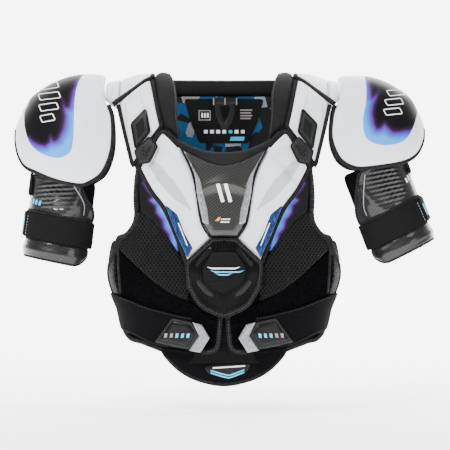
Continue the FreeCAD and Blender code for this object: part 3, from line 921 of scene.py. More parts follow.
def make_sternum():
    left = [(-61, -95), (-50, -119), (-42, -140), (-38, -160), (-31, -200)]
    brow = [(0, -118), (-20, -114), (-42, -104), (-61, -95)]
    runs = both_sides([brow, left, [(-31, -200), (-19, -220)]])
    runs.insert(3, [(-19, -220), (19, -220)])
    line = front(trace(runs, 2.5))
    FRONT.panel("sternum_shell_moulding", line, 14.0, 4.5, step=3.0, relief=sternum_relief, material=CARBON,
                node="sternum_shell", slot="black_shell")
    for side, sign in SIDES:
        flank = trace([[(-59, -98), (-47, -121), (-42, -136), (-39, -160), (-31, -200)],
                       [(-31, -200), (-21.5, -203)], [(-21.5, -203), (-24, -182), (-30, -158), (-35, -138),
                                                      (-47, -117), (-57, -100), (-59, -98)]], 2.0)
        FRONT.panel(f"{side}_sternum_flank", front(flank * [sign, 1]), 17.5, 4.0, edge=2.2, step=2.5,
                    material=SILVER, node=first(sign, "sternum_flanks"), slot="silver_trim")
        hem = curve([(-62, -95), (-50.5, -118.5), (-43.5, -140), (-40, -160), (-33, -200), (-20.5, -221)],
                    2.5, sign)
        FRONT.band(f"{side}_sternum_rim", hem, 17.2, 2.6, 2.6, BLACK)

    def on_shell(u, z, d):
        return sternum_relief(u, z, d + 20)

    for k, x in enumerate((-12.5, -0.5)):
        slash = [(x, -145), (x + 5.5, -144), (x + 13.5, -170), (x + 8, -171)]
        FRONT.panel(f"sternum_mark_{k}", cut(slash, 1.5, 1.2, off=20), 18.5, 0.8, edge=0.5, step=2.0,
                    relief=on_shell, material=PRINT_WHITE)
    badge = [[(-14, -197), (-9, -192), (-5, -191.5), (-8, -197.5)]]
    badge += [[(x, z), (x + 14, z), (x + 13, z - 1.7), (x - 1, z - 1.7)] for x, z in ((-4, -194), (-5, -198))]
    for k, shape in enumerate(badge):
        FRONT.panel(f"sternum_badge_{k}", cut(shape, 0.5, 0.8, off=20), 18.5, 0.8, edge=0.4, step=2.0,
                    relief=on_shell, material=PRINT_WHITE if k else PRINT_ORANGE)


def make_collar_lip():
    top = across([(-84, -67), (-77, -71), (-62, -84.5), (-32, -96), (0, -99.5)])
    low = across([(84, -74), (66, -92), (48, -103), (24, -115), (0, -119.5)])
    line = front(trace([top, [(84, -68), (84, -74)], low, [(-84, -74), (-84, -68)]], 2.5))
    FRONT.panel("front_collar_lip_padding", line, 8.0, 12.5, edge=8.0, step=3.0, material=PADDING,
                swell=(1.6, 3.0), node="front_collar_lip", slot="charcoal_padding", fill=0.8)
    hem = curve(across([(-60, -95.5), (-48, -102), (-24, -113.5), (0, -118)]), 2)
    FRONT.band("front_collar_lip_binding", hem + [0, -1.5], 15.0, 5.0, 5.5)
    FRONT.stitch("front_collar_lip_stitching", hem + [0, -1.5], 18.0, pitch=3.4, length=2.2, thick=0.5)
    corner = [(-94, -59), (-86, -61), (-77, -71)]
    under = across([(92, -76), (62, -100), (30, -112), (0, -116)])
    runs = [corner, top[2:-2], mirror(corner)[::-1], [(94, -59), (92, -76)], under, [(-92, -76), (-94, -59)]]
    FRONT.panel("front_collar_lip_inside", front(trace(runs, 3.0)), 1.0, 6.0, step=5.0, material=PADDING)


CHEST_FLAME = [
    (-131, -116), (-119, -128), (-112, -141), (-116, -143), (-108, -156), (-102, -163), (-107, -168),
    (-98, -176),
    (-97, -186), (-88, -196), (-86, -208), (-79, -216), (-76, -232), (-62, -252), (-40, -252), (-60, -200),
    (-100, -140), (-118, -108)]


def make_side_fabrics():
    for side, sign in SIDES:
        flame_line = [(-123, -122), (-105, -156), (-87, -181), (-70, -217), (-67, -242), (-82, -222),
                      (-97, -203), (-121, -184), (-124, -150)]
        line = cut(flame_line, 3, 3, sign)
        piece = FRONT.panel(f"{side}_flame_print", line, 7.3, 4.6, edge=3.0, step=2.2, material=FLAMES,
                            node=f"{side}_flame_panel", slot="flame_print")
        heat(piece, np.array(CHEST_FLAME) * [sign, 1], 1.5)
        mesh_line = [(-122, -181), (-97, -200), (-82, -219), (-67, -243), (-54, -262), (-50, -290),
                     (-52, -312), (-80, -300), (-107, -281), (-150, -240), (-151, -226), (-143, -221),
                     (-131, -207)]
        line = cut(mesh_line, 4, 3, sign)
        FRONT.panel(f"{side}_mesh_knit", line, 7.2, 5.0, material=MESH, node=f"{side}_mesh_panel",
                    slot="black_mesh")
        loop_line = [(-153, -238), (-107, -280), (-80, -299), (-50, -312), (-30, -322), (-6, -334),
                     (-8, -352), (-11, -375), (-17, -382), (-49, -384), (-88, -380), (-107, -372),
                     (-122, -367), (-133, -367), (-138, -354), (-150, -300)]
        line = cut(loop_line, 5, 3, sign)
        FRONT.panel(f"{side}_loop_pile", line, 7.0, 4.4, edge=3.0, step=5.0, material=PILE,
                    node=f"{side}_loop_panel", slot="loop_pile")
        hem = curve([(-6, -333), (-7, -352), (-10, -374), (-17, -381.5), (-34, -383)], 2.5, sign)
        FRONT.band(f"{side}_loop_binding", hem, 9.5, 7.5, 5.0)
        FRONT.stitch(f"{side}_loop_stitching", hem[2:-2], 12.0)
        u0 = float(along(-150, -300, 8)) * sign
        edge_u = -(QUARTER - 22) * sign
        wing = [(u0 * 0.97, -224), (u0 * 1.06, -226), (edge_u, -252), (edge_u, -350), (u0 * 1.02, -366),
                (u0 * 0.985, -352), (u0, -300), (u0 * 0.99, -250)]
        if sign < 0:
            wing = wing[::-1]
        FRONT.panel(f"{side}_side_mesh", round_corners(wing, 6, 3), 7.0, 3.6, edge=3.0, step=5.0,
                    material=MESH, node=f"{side}_side_wing", slot="black_mesh")
        armhole = curve([(-124, -118), (-127, -138), (-128.5, -165), (-127.5, -189), (-132, -205),
                         (-143, -218), (-153, -222), (-157, -240)], 3, sign)
        low = spline([(edge_u, -262), (edge_u, -300), (edge_u, -345), (edge_u * 0.985, -358)], step=3)
        hem = curve([(-139, -363), (-134, -367), (-124, -368.5), (-107, -374), (-88, -381)], 3, sign)
        line = refine(spline(np.vstack([armhole, low, hem])[::3], step=3), 2.5)
        FRONT.band(f"{side}_armhole_binding", line, 6.5, 8.5, 12.0)
        FRONT.stitch(f"{side}_armhole_stitching", armhole[3:], 12.4)
        step_line = curve([(-124, -186), (-128, -200), (-138, -214), (-151, -229), (-152, -262),
                           (-149, -300)], 3, sign, 11)
        FRONT.band(f"{side}_mesh_binding", step_line, 11.6, 5.5, 2.6)


def make_anchors():
    """The hook-and-loop tabs of the yokes, seen where they end on the chest."""
    shape = [(-106, -78), (-95, -91), (-106, -114), (-120, -116), (-126, -98)]
    for side, sign in SIDES:
        line = cut(shape, 3.0, 2.0, sign)
        FRONT.panel(f"{side}_chest_anchor", line, 16.6, 3.6, edge=2.5, step=2.5, material=TAB,
                    node=first(sign, "chest_anchor_tabs"), slot="grey_tab")
        FRONT.wire(f"{side}_chest_anchor_rim", line, 18.6, 1.5, 1.3, closed=True, material=TAPE)
        FRONT.stitch(f"{side}_chest_anchor_stitching", inset(line, 3.2), 20.2, pitch=3.4, length=2.2,
                     thick=0.4, closed=True)
        for k, (dx, dz, s) in enumerate(((-109, -92, 1.0), (-110, -98, 0.8), (-111, -104, 0.55))):
            hook = curve([(dx - 7 * s, dz + 1), (dx - 1, dz - 4 * s), (dx + 7 * s, dz + 2)], 1.0, sign)
            FRONT.wire(f"{side}_chest_anchor_ridge_{k}", hook, 20.2, 1.1, 1.0, material=BLACK)


def make_belly():
    half = [(0, -222), (-19, -222), (-58, -256), (-55, -291), (-37, -318), (-12, -331), (0, -334)]
    line = front(trace(both_sides([half[0:2], half[1:3], half[2:4], half[3:]]), 2.5), 16)
    face = [(-19, -240), (19, -240), (35, -266), (31, -285), (0, -302), (-31, -285), (-35, -266)]

    def relief(u, z, d):
        q = np.abs(u) * 0.75 + np.abs(z + 270) * 0.62
        slope = 3.6 * smooth((46 - q) / 22)
        return slope * smooth(d / 7)

    BELLY.panel("belly_shield_moulding", line, 14.8, 5.5, edge=5.0, step=3.0, relief=relief, material=RIBBED,
                node="belly_shield", slot="black_shell")
    ring = inset(line, 3.4)
    BELLY.wire("belly_shield_binding", refine(np.vstack([ring, ring[:1]]), 2.5)[:-1], 18.4, 4.2, 2.9,
               closed=True, material=TAPE)
    BELLY.stitch("belly_shield_stitching", refine(np.vstack([ring, ring[:1]]), 2.5), 21.4)
    wide = [(-23, -233), (23, -233), (46, -258), (42, -286), (30, -300), (0, -316), (-30, -300), (-42, -286),
            (-46, -258)]
    BELLY.panel("belly_shield_tier", cut(wide, 5, 2.5, off=18), 19.5, 3.6, edge=6.0, step=3.0, material=BLACK)
    BELLY.panel("belly_shield_face", cut(face, 4, 2.5, off=20), 21.8, 4.2, edge=3.0, step=3.0,
                material=RIBBED_ACROSS, node="belly_shield_ridge", slot="black_shell")
    marks = (-27, 26, -262, PRINT_WHITE), (-22, 32, -267, PRINT_BLUE), (-15, 14, -271, PRINT_BLUE)
    for k, (x0, x1, z, m) in enumerate(marks):
        bar = [(x0, z), (x0 + 8, z - 3.4), (x1 - 8, z - 3.4), (x1, z), (x1 - 9, z - 1.4), (x0 + 9, z - 1.4)]
        BELLY.panel(f"belly_mark_{k}", cut(bar, 0.6, 1.2, off=24), 25.9, 0.5, edge=0.4, step=2.0, material=m)
    for side, sign in SIDES:
        for k in range(3):
            glint = [(-(24 + 6 * k), -237 - 6 * k), (-(36 + 3 * k), -252 - 5 * k)]
            BELLY.wire(f"{side}_belly_rib_{k}", curve(glint, 2, sign, 20), 23.0, 1.1, 0.9, material=BLACK)


def pad_grooves(u, z, d):
    return -1.2 * hump(np.abs(u) - 33, 1.6) * smooth(d / 5)


def make_extension():
    foot = [(-88, -379), (-76, -396), (-56, -413), (-30, -424), (0, -429)]
    runs = [[(0, -330), (-88, -336)], [(-88, -336), (-88, -379)], foot]
    line = front(trace(both_sides(runs), 3.0), -5)
    EXTENSION.panel("extension_pad_padding", line, -9.5, 7.0, edge=6.0, material=ELASTIC, back=2.0,
                    relief=pad_grooves, node="extension_pad", slot="black_knit", fill=0.7)
    ribbed = [(-29, -336), (29, -336), (34, -370), (50, -400), (-50, -400), (-34, -370)]
    EXTENSION.panel("extension_pad_ribs", cut(ribbed, 2, 3, off=-2), -4.0, 2.4, edge=2.0, step=3.0,
                    material=RIBBED)
    hem = curve(across([(-88, -352), (-88, -379), (-76, -397), (-56, -414), (-30, -425), (0, -430)]), 3,
                off=-5)
    EXTENSION.band("extension_pad_binding", hem, -6.0, 6.0, 6.5)
    patch = [(-28, -407), (-26, -404), (0, -401), (36, -399), (38, -402), (33, -411), (8, -422), (2, -422),
             (-22, -415)]
    EXTENSION.panel("extension_pad_label", cut(patch, 3, 2, off=0), -3.2, 2.0, edge=1.8, step=3.0,
                    material=BLACK, node="extension_label", slot="black_shell")
    for k, z in enumerate((-409, -412.5)):
        mark = [(-19, z), (-4, z - 4.5), (7, z - 7), (16, z - 4), (29, z + 1), (29, z - 0.8), (16, z - 6),
                (7, z - 9), (-4, z - 6.5), (-19, z - 1.8)]
        EXTENSION.panel(f"extension_chevron_{k}", cut(mark, 0.5, 1.2, off=0), -1.2, 0.4, edge=0.3, step=2,
                        material=PRINT_BLUE)
    bar = [(-16, -405.5), (30, -402.5), (30, -404.3), (-16, -407.3)]
    EXTENSION.panel("extension_bar", cut(bar, 0.5, 1.2, off=0), -1.2, 0.4, edge=0.3, step=2,
                    material=PRINT_WHITE)


def make_waist_straps():
    for side, sign in SIDES:
        strap = Layer(f"{side}_waist_strap", torso)
        top = curve([(-158, -303), (-135, -311), (-111, -320), (-71, -330), (-47, -334)], 3, off=14)
        low = curve([(-47, -379), (-70, -378), (-92, -376), (-107, -372), (-130, -361), (-147, -355)], 3,
                    off=14)
        end = QUARTER - 0.3
        outline = np.vstack([[(-end, -302)], top, low, [(-end, -350)]])
        outline = refine(np.vstack([outline, outline[:1]]), 3)[:-1] * [sign, 1]
        if sign < 0:
            outline = outline[::-1]
        strap.panel(f"{side}_elastic_band", outline, 12.4, 2.6, edge=1.2, step=5.0, material=ELASTIC,
                    node=f"{side}_waist_strap", slot="elastic")
        for k, line in enumerate((top[2:] - [0, 2.2], low[::-1][2:] + [0, 2.2])):
            strap.stitch(f"{side}_band_stitching_{k}", line * [sign, 1], 15.0, thick=0.35)
        shape = [(-78, -335), (-49, -341), (-36, -359), (-51, -380), (-103, -370)]
        line = cut(shape, 3, 2, sign, 18)
        strap.panel(f"{side}_tab_base", line, 14.6, 3.0, edge=1.5, material=TAB, node=f"{side}_strap_tab",
                    slot="grey_tab")
        inner = [(-77, -339), (-52, -344), (-43, -356), (-54, -375), (-95, -367)]
        line2 = cut(inner, 4, 2, sign, 18)
        strap.panel(f"{side}_tab_face", line2, 17.2, 2.4, step=3, material=BLACK)
        strap.stitch(f"{side}_tab_stitching", inset(line, 2.2), 17.7, thick=0.4, closed=True)
        chevron = [(-48, -340.5), (-34, -344), (-22, -363), (-36, -384), (-53, -381), (-38, -360)]
        line = cut(chevron, 1.5, 2, sign, 18)
        strap.panel(f"{side}_chevron_trim", line, 15.6, 3.2, edge=1.0, step=2.5, material=SILVER,
                    node=f"{side}_strap_chevron", slot="silver_trim")
        for k in range(5):
            x = -88 + 8 * k
            bar = [(x, -357), (x + 4, -356.4), (x + 3, -362.4), (x - 1, -363)]
            strap.panel(f"{side}_tab_dash_{k}", cut(bar, 0.5, 1, sign, 20), 19.7, 0.4, edge=0.3, step=2,
                        material=PRINT_GREY if k < 2 else PRINT_BLUE)


make_front_lining()
make_chest()
make_sternum()
make_collar_lip()
make_side_fabrics()
make_anchors()
make_belly()
make_extension()
make_waist_straps()

# ---------------------------------------------------------------- yokes, collar and back


def arch(points, off=8.0, back=False):
    """Front-view corners, or the same outline on the back, unrolled over the shoulder."""
    out = []
    for x, z in points:
        v = up_arch(x, z, off)
        out.append((x, math.pi * ARC - v if back else v))
    return out


CREST = math.pi * ARC / 2


def make_yoke(side, sign):
    inner = [(-104, 4), (-97, -30), (-89, -65)]
    outer = [(-130, -118), (-142, -69), (-150, -33)]
    f_in, b_in = arch(inner), arch(inner, back=True)
    f_out, b_out = arch(outer), arch(outer, back=True)
    runs = [
        [(-104, CREST), f_in[0], f_in[1], f_in[2]],
        [f_in[2], f_out[0]],
        [f_out[0], f_out[1], f_out[2]],
        [f_out[2], (-151, CREST), b_out[2]],
        [b_out[2], b_out[1], b_out[0]],
        [b_out[0], b_in[2]],
        [b_in[2], b_in[1], b_in[0], (-104, CREST)],
    ]
    line = trace(runs, 3.0) * [sign, 1]

    def relief(x, v, d):
        return 2.0 * hump(np.abs(x) - 124, 16) * smooth(d / 10)

    YOKES.panel(f"{side}_yoke_foam", line, 0.6, 10.5, edge=7.0, step=3.5, relief=relief, material=WHITE,
                node=f"{side}_shoulder_yoke", slot="white_foam", fill=0.8)
    gate = up_arch(-150, -30, 10)
    for tag, lower, upper in (("front", f_out, f_in), ("back", b_out, b_in)):
        stop = gate if tag == "front" else math.pi * ARC - gate
        way = [(-104.0, CREST), upper[0], upper[1], upper[2], lower[0], lower[1], (-151.0, stop)]
        way = refine(np.vstack([spline(way[:4], step=3)[:-1], spline(way[4:], step=3)]), 3) * [sign, 1]
        YOKES.band(f"{side}_yoke_{tag}_binding", way, 7.0, 7.0, 8.0)
    slope = [(-103, 9), (-112, 4), (-121, -3), (-131, -11), (-146, -22), (-159, -32)]
    faces = ("front", False), ("back", True)
    for tag, back in faces:
        cross = refine(spline(np.array(arch(slope, 10, back)) * [sign, 1], step=3), 3)
        YOKES.band(f"{side}_yoke_{tag}_cross_binding", cross, 12.2, 7.5, 5.0)
        YOKES.stitch(f"{side}_yoke_{tag}_cross_stitching", cross, 14.9)
    # Thin grey lines down the yoke: painted shadow in its seams.
    for tag, back in faces:
        for k, (a, b) in enumerate((((-120, -16), (-113, -40)), ((-141, -30), (-136, -84)))):
            middle = ((a[0] + b[0]) / 2 - 1, (a[1] + b[1]) / 2)
            seam = refine(spline(np.array(arch([a, middle, b], 10, back)) * [sign, 1], step=3), 3)
            YOKES.wire(f"{side}_yoke_{tag}_seam_{k}", seam, 13.0, 0.3, 0.3, sides=6, material=SEAM_SHADOW)


def make_collar(side, sign):
    inner = [(-71, 5), (-67, -16), (-66, -45), (-61, -84)]
    outer = [(-87, -61), (-95, -30), (-101, 4)]
    f_in, b_in = arch(inner), arch(inner, back=True)
    f_out, b_out = arch(outer), arch(outer, back=True)
    runs = [
        [(-77, CREST), f_in[0], f_in[1], f_in[2], f_in[3]],
        [f_in[3], f_out[0]],
        [f_out[0], f_out[1], f_out[2], (-101, CREST), b_out[2], b_out[1], b_out[0]],
        [b_out[0], b_in[3]],
        [b_in[3], b_in[2], b_in[1], b_in[0], (-77, CREST)],
    ]
    line = trace(runs, 2.5) * [sign, 1]
    YOKES.panel(f"{side}_collar_padding", line, 0.8, 11.5, edge=9.0, step=3.0, lip=0.2, material=PADDING,
                back=2.0, swell=(2.0,), node=f"{side}_collar_band", slot="charcoal_padding", fill=0.85)
    hem = np.array([f_in[3], f_in[2], f_in[1], (-77, CREST), b_in[1], b_in[2], b_in[3]]) + [-3.5, 0]
    hem = refine(spline(hem * [sign, 1], step=3), 3)
    YOKES.stitch(f"{side}_collar_stitching", hem, 11.4)


def make_back_collar():
    xs = np.linspace(-80, 80, 41)
    y = 72.5 - 1.5 * (xs / 80) ** 2
    z = 0.8 - 1.0 * (1 - (xs / 80) ** 2)
    path = np.stack([xs, y, z], 1)
    normal = np.tile([0.0, 1.0, 0.0], (len(xs), 1))
    taper = 1 - 0.16 * np.abs(xs / 80) ** 6
    roll = sweep("back_collar_padding", path, normal, 14.0 * taper, 6.4 * taper, sides=28, material=PADDING,
                 square=0.85)
    YOKES.fix(plump(roll, 1.2), node="back_collar_band", slot="charcoal_padding", fill=0.9)
    for k, dz in enumerate((-10.0, 10.0)):
        line = path + [0, -6.9 if k == 0 else -5.6, dz]
        YOKES.fix(sweep(f"back_collar_seam_{k}", line[2:-2], -normal[2:-2], 0.5, 0.5, sides=6,
                        material=THREAD))


def make_upper_back():
    half = [(0, -8), (-84, -8), (-83, -30), (-79, -45), (-70, -74), (-84, -73), (-114, -108)]
    outline = arch(half, 4, back=True)
    full = outline + [(-x, v) for x, v in outline[::-1][:-1]]
    line = round_corners(full, 3.0, 3.0)
    YOKES.panel("upper_back_lining_cloth", line, -1.6, 6.0, edge=3.0, step=5.0, material=PILE, under=NAVY,
                node="upper_back_lining", slot="navy_lining", fill=0.5)
    inner = [(-59, -15), (59, -15), (51, -45), (37, -80), (-37, -80), (-51, -45)]
    YOKES.panel("back_label", round_corners(arch(inner, 0, back=True), 5, 2.5), -3.4, 2.8, edge=2.0,
                material=MATTE, node="back_label_plate", slot="black_knit")


def label_prints():
    """Plain bars and boxes on the inside of the neck label."""

    def bar(name, x0, x1, z0, z1, material, lean=0.0, push=0.0):
        corners = [(x0, z0), (x1, z0), (x1 + lean, z1), (x0 + lean, z1)]
        depths = [float(over(0, math.pi * ARC - up_arch(0, z, -3), -3.6)[1]) for _, z in corners]
        face = [(x, y - 0.5 - push, z) for (x, z), y in zip(corners, depths)]
        verts = face + [(x, y + 0.5, z) for x, y, z in face]
        faces = [(0, 1, 2, 3), (7, 6, 5, 4), (0, 4, 5, 1), (1, 5, 6, 2), (2, 6, 7, 3), (3, 7, 4, 0)]
        obj = build(name, verts, faces, [(v[0], v[2]) for v in verts])
        obj.data.materials.append(material)
        YOKES.fix(obj)

    bar("label_box", -38, -20, -32, -47, PRINT_GREY)
    bar("label_box_middle", -36.5, -21.5, -33.5, -45.5, MATTE, push=0.4)
    for k in range(3):
        bar(f"label_box_line_{k}", -34 + 4.2 * k, -31.5 + 4.2 * k, -36, -43, PRINT_WHITE, push=0.8)
    for k in range(4):
        bar(f"label_row_{k}", 24, 42 - 2 * (k % 2), -31 - 4 * k, -33 - 4 * k, PRINT_GREY)
    for k in range(7):
        bar(f"label_dash_{k}", -30 + 9.2 * k, -24.5 + 9.2 * k, -61, -66,
            PRINT_BLUE if k == 4 else PRINT_WHITE)
    bar("label_blue", 10, 31, -71, -77, PRINT_BLUE, lean=-1.5)


def make_hang_loop():
    y = 61.8

    def flat_web(name, points, half_width, half_height, material=SATIN):
        path = np.asarray(points, float)
        return sweep(name, path, np.tile([0.0, -1.0, 0.0], (len(path), 1)), half_width, half_height,
                     material=material)

    left = spline([(-10, -20), (-9, -34), (-5, -47), (0, -56)], step=2)
    right = spline([(13, -20), (12, -34), (8, -47), (2, -56)], step=2)
    for k, line in enumerate((left, right)):
        path = np.stack([line[:, 0], np.full(len(line), y + 0.4 * k), line[:, 1]], 1)
        LOOP.fix(flat_web(f"hang_loop_web_{k}", path, 4.2, 0.8), node="hang_loop" if k == 0 else None,
                 slot="elastic")
    LOOP.fix(flat_web("hang_loop_fold", [(-4, y, -55.5), (1, y - 0.6, -57.5), (6, y, -55.5)], 3.8, 1.3))
    ends = flat_web("hang_loop_sewn_ends", [(-17, y, -19.5), (2, y, -19.5), (20, y, -19.5)], 6.2, 1.4)
    YOKES.fix(ends, node="hang_loop_base", slot="elastic")
    for k, x in enumerate((-15.5, 1.5, 18.5)):
        tack = [(x, y - 2.0, z) for z in (-14.5, -19.5, -24.5)]
        YOKES.fix(flat_web(f"hang_loop_bar_tack_{k}", tack, 0.9, 0.7, PRINT_GREY))


def back_place(x, z, off):
    """The back of the body by distance either way from the spine."""
    x, z, off = np.broadcast_arrays(*(np.asarray(a, float) for a in (x, z, off)))
    s = np.where(x < 0, -1.0, 1.0)
    return torso(s * (2 * QUARTER - np.maximum(np.abs(x), 1e-4)), z, off)


BACK = Layer("shoulder_harness", back_place)


def vertebrae(x, z, d):
    return (1.6 * np.cos((z + 120) / 22 * 2 * math.pi) - 1.2 + 1.8 * hump(x, 5)) * smooth(d / 6)


def scapula_crease(x, z, d):
    return -1.8 * hump(np.abs(x) * 0.5 + z + 205, 2.2) * smooth(d / 4)


def kidney_quilting(x, z, d):
    return -1.8 * hump(np.mod(z + 262 + np.abs(x) * 0.25, 24) - 12, 1.6) * smooth(d / 6)


def make_back():
    end = QUARTER - 22
    half = [(0, -111), (-113, -111), (-124, -130), (-125, -160), (-128, -200), (-146, -222)]
    left = front(half, 6)
    outline = np.vstack([
        spline(left, step=4)[:-1], [(-end, -250), (-end, -300), (-end, -352)],
        front([(-128, -371), (-90, -379), (-50, -384), (0, -386)], 6)])
    full = np.vstack([outline, (outline * [-1, 1])[::-1][1:-1]])
    full = refine(np.vstack([full, full[:1]]), 4)[:-1]
    BACK.panel("back_lining_knit", full, 0.2, 6.4, step=7.0, material=MESH, under=NAVY, node="back_lining",
               slot="navy_lining", fill=0.5)
    BACK.band("back_lining_binding", full, 4.0, 7.0, 8.0, closed=True)
    plate = [(0, -114), (-107, -114), (-118, -132), (-112, -190), (-92, -238), (-50, -252), (0, -257)]
    line = cut(whole(plate), 8, 3, off=12)
    BACK.panel("back_plate_padding", line, 7.4, 6.6, edge=6.0, step=5.0, material=MESH, node="back_plate",
               slot="black_mesh", fill=0.6)
    BACK.band("back_plate_binding", line, 12.0, 6.0, 5.0, closed=True)
    spine = [(0, -120), (-22, -124), (-20, -160), (-22, -200), (-15, -236), (0, -246)]
    line = cut(whole(spine), 5, 2.5, off=16)
    BACK.panel("spine_guard_moulding", line, 14.8, 5.4, edge=4.5, step=2.6, relief=vertebrae, material=CARBON,
               node="spine_guard", slot="carbon_shell")
    BACK.band("spine_guard_rim", line, 16.5, 3.0, 3.4, BLACK, closed=True)
    scapula = [(-34, -124), (-70, -120), (-100, -142), (-96, -190), (-56, -222), (-34, -200)]
    kidney = [(-12, -262), (-92, -246), (-122, -262), (-122, -298), (-112, -362), (-30, -374), (-12, -366)]
    for side, sign in SIDES:
        line = cut(scapula, 12, 3, sign, 16)
        BACK.panel(f"{side}_scapula_foam", line, 14.8, 5.6, edge=9.0, material=WHITE, relief=scapula_crease,
                   node=first(sign, "scapula_pads"), slot="white_foam", fill=0.8)
        BACK.band(f"{side}_scapula_binding", line, 16.4, 5.0, 4.6, closed=True)
        BACK.stitch(f"{side}_scapula_stitching", inset(line, 4.4), 19.6, THREAD_LIGHT, closed=True)
        line = cut(kidney, 12, 3, sign)
        BACK.panel(f"{side}_kidney_foam", line, 7.2, 5.2, edge=8.0, step=3.5, material=PADDING,
                   relief=kidney_quilting, node=first(sign, "kidney_pads"), slot="charcoal_padding", fill=0.7)
        BACK.band(f"{side}_kidney_binding", line, 8.6, 5.0, 4.4, closed=True)
    ends = [(-QUARTER + 22, -303), (-QUARTER + 0.3, -303), (-QUARTER + 0.3, -350), (-QUARTER + 22, -350)]
    for side, sign in SIDES:
        line = refine(np.array(ends + ends[:1], float) * [sign, 1], 4)[:-1]
        BACK.panel(f"{side}_strap_back_end", line, 12.4, 2.6, edge=1.2, step=5, material=ELASTIC,
                   node=first(sign, "strap_back_ends"), slot="elastic")
        seam = np.array([[(-QUARTER + 3.5) * sign, z] for z in (-303.5, -326.0, -349.5)])
        BACK.band(f"{side}_strap_seam_tape", seam, 15.3, 7.4, 1.4)
        for k in range(2):
            x = (-QUARTER + 19 - 3.0 * k) * sign
            BACK.stitch(f"{side}_strap_back_stitching_{k}", np.array([[x, -305.0], [x, -326.0], [x, -348.0]]),
                        15.0)


def make_bridges():
    for side, sign, wide in (("right", 1, 171), ("left", -1, 166)):
        low = up_arch(-152, -27, 5)
        shape = [(-150.5, low + 6), (-158, low), (-wide, low + 14)]
        shape = shape + [(x, math.pi * ARC - v) for x, v in shape[::-1]]
        line = round_corners(shape, 4, 3) * [sign, 1]
        YOKES.panel(f"{side}_bridge_foam", line, 0.8, 9.6, edge=5.0, step=3.0, lip=0.6, material=WHITE,
                    node=f"{side}_shoulder_bridge", slot="white_foam", fill=0.6)
        # Thin grey lines along the bridge: painted shadow in its seams.
        for k, x in enumerate((-152.0, -161.0)):
            seam = np.array([[x * sign, v] for v in np.arange(low + 8, math.pi * ARC - low - 8, 3.0)])
            YOKES.wire(f"{side}_bridge_seam_shadow_{k}", seam, 10.3, 0.35, 0.35, sides=6, material=SEAM_SHADOW)


def make_adjusters():
    upper = [(-112, -39), (-132, -60), (-126, -94), (-106, -71)]
    for side, sign in SIDES:
        tab = Layer(f"{side}_adjuster", over)
        line = np.array([(x, up_arch(x, z, 12)) for x, z in round_corners(upper, 3.0, 2.0)]) * [sign, 1]
        tab.panel(f"{side}_adjuster_pad", line, 11.6, 3.4, edge=2.0, step=3.0, material=TAB,
                  node=f"{side}_adjuster_tab", slot="grey_tab")
        tab.band(f"{side}_adjuster_frame", line, 14.0, 3.6, 3.4, BLACK, closed=True)
        tab.stitch(f"{side}_adjuster_stitching", inset(line, 3.6), 15.2, pitch=3.4, length=2.2, thick=0.35,
                   closed=True)
        core = inset(line, 6.0)
        tab.panel(f"{side}_adjuster_weave", core, 14.6, 1.6, edge=1.4, step=3.0, material=WOVEN)


# ---------------------------------------------------------------- shoulder caps


FACE = 10.0  # height of a cap's face above its base
RADIAN = 100.0  # flat length of one radian from the pole


class Cap(Layer):
    """An egg-shaped dome; flat positions are measured from its outer pole, first forward, then up."""

    def __init__(self, side, sign, centre, half_length, radius):
        self.body, self.side, self.sign = f"{side}_cap", side, sign
        self.cx, self.cz = centre
        self.long, self.radius = half_length - FACE, radius - FACE

    def place(self, p, q, off):
        p, q, off = np.broadcast_arrays(*(np.asarray(a, float) for a in (p, q, off)))
        r = np.hypot(p, q)
        turn = np.clip(r / RADIAN, 0, math.pi)
        ring = (self.radius + off) * np.sin(turn)
        r = np.maximum(r, 1e-6)
        x = self.cx + self.sign * (self.long + off) * np.cos(turn)
        return np.stack([x, -ring * p / r, self.cz + ring * q / r], -1)

    def seen(self, points, back=False):
        """Flat positions of front-view points on the front, or on the back, of the dome."""
        p = np.asarray(points, float)
        c = np.clip(self.sign * (p[:, 0] - self.cx) / (self.long + FACE), -0.9999, 0.9999)
        turn = np.arccos(c)
        up = np.clip((p[:, 1] - self.cz) / ((self.radius + FACE) * np.sin(turn)), -1, 1)
        side = np.sqrt(1 - up ** 2) * (-1 if back else 1)
        return np.stack([side, up], 1) * (turn * RADIAN)[:, None]

    def height(self, line):
        return self.place(line[:, 0], line[:, 1], FACE)[:, 2]

    def from_top(self, line):
        """The same closed outline, starting at its highest point."""
        return np.roll(line, -int(np.argmax(self.height(line))), 0)

    def both(self, points, tuck=(0.0, 0.0)):
        """A closed outline: front-view points, and the same run, drawn in a little, returning on the back."""
        p = np.asarray(points, float)
        drawn_in = p + (np.array([self.cx, self.cz]) - p) * tuck
        line = np.vstack([self.seen(p), self.seen(drawn_in, back=True)[::-1]])
        return refine(np.vstack([line, line[:1]]), 3.0)[:-1]


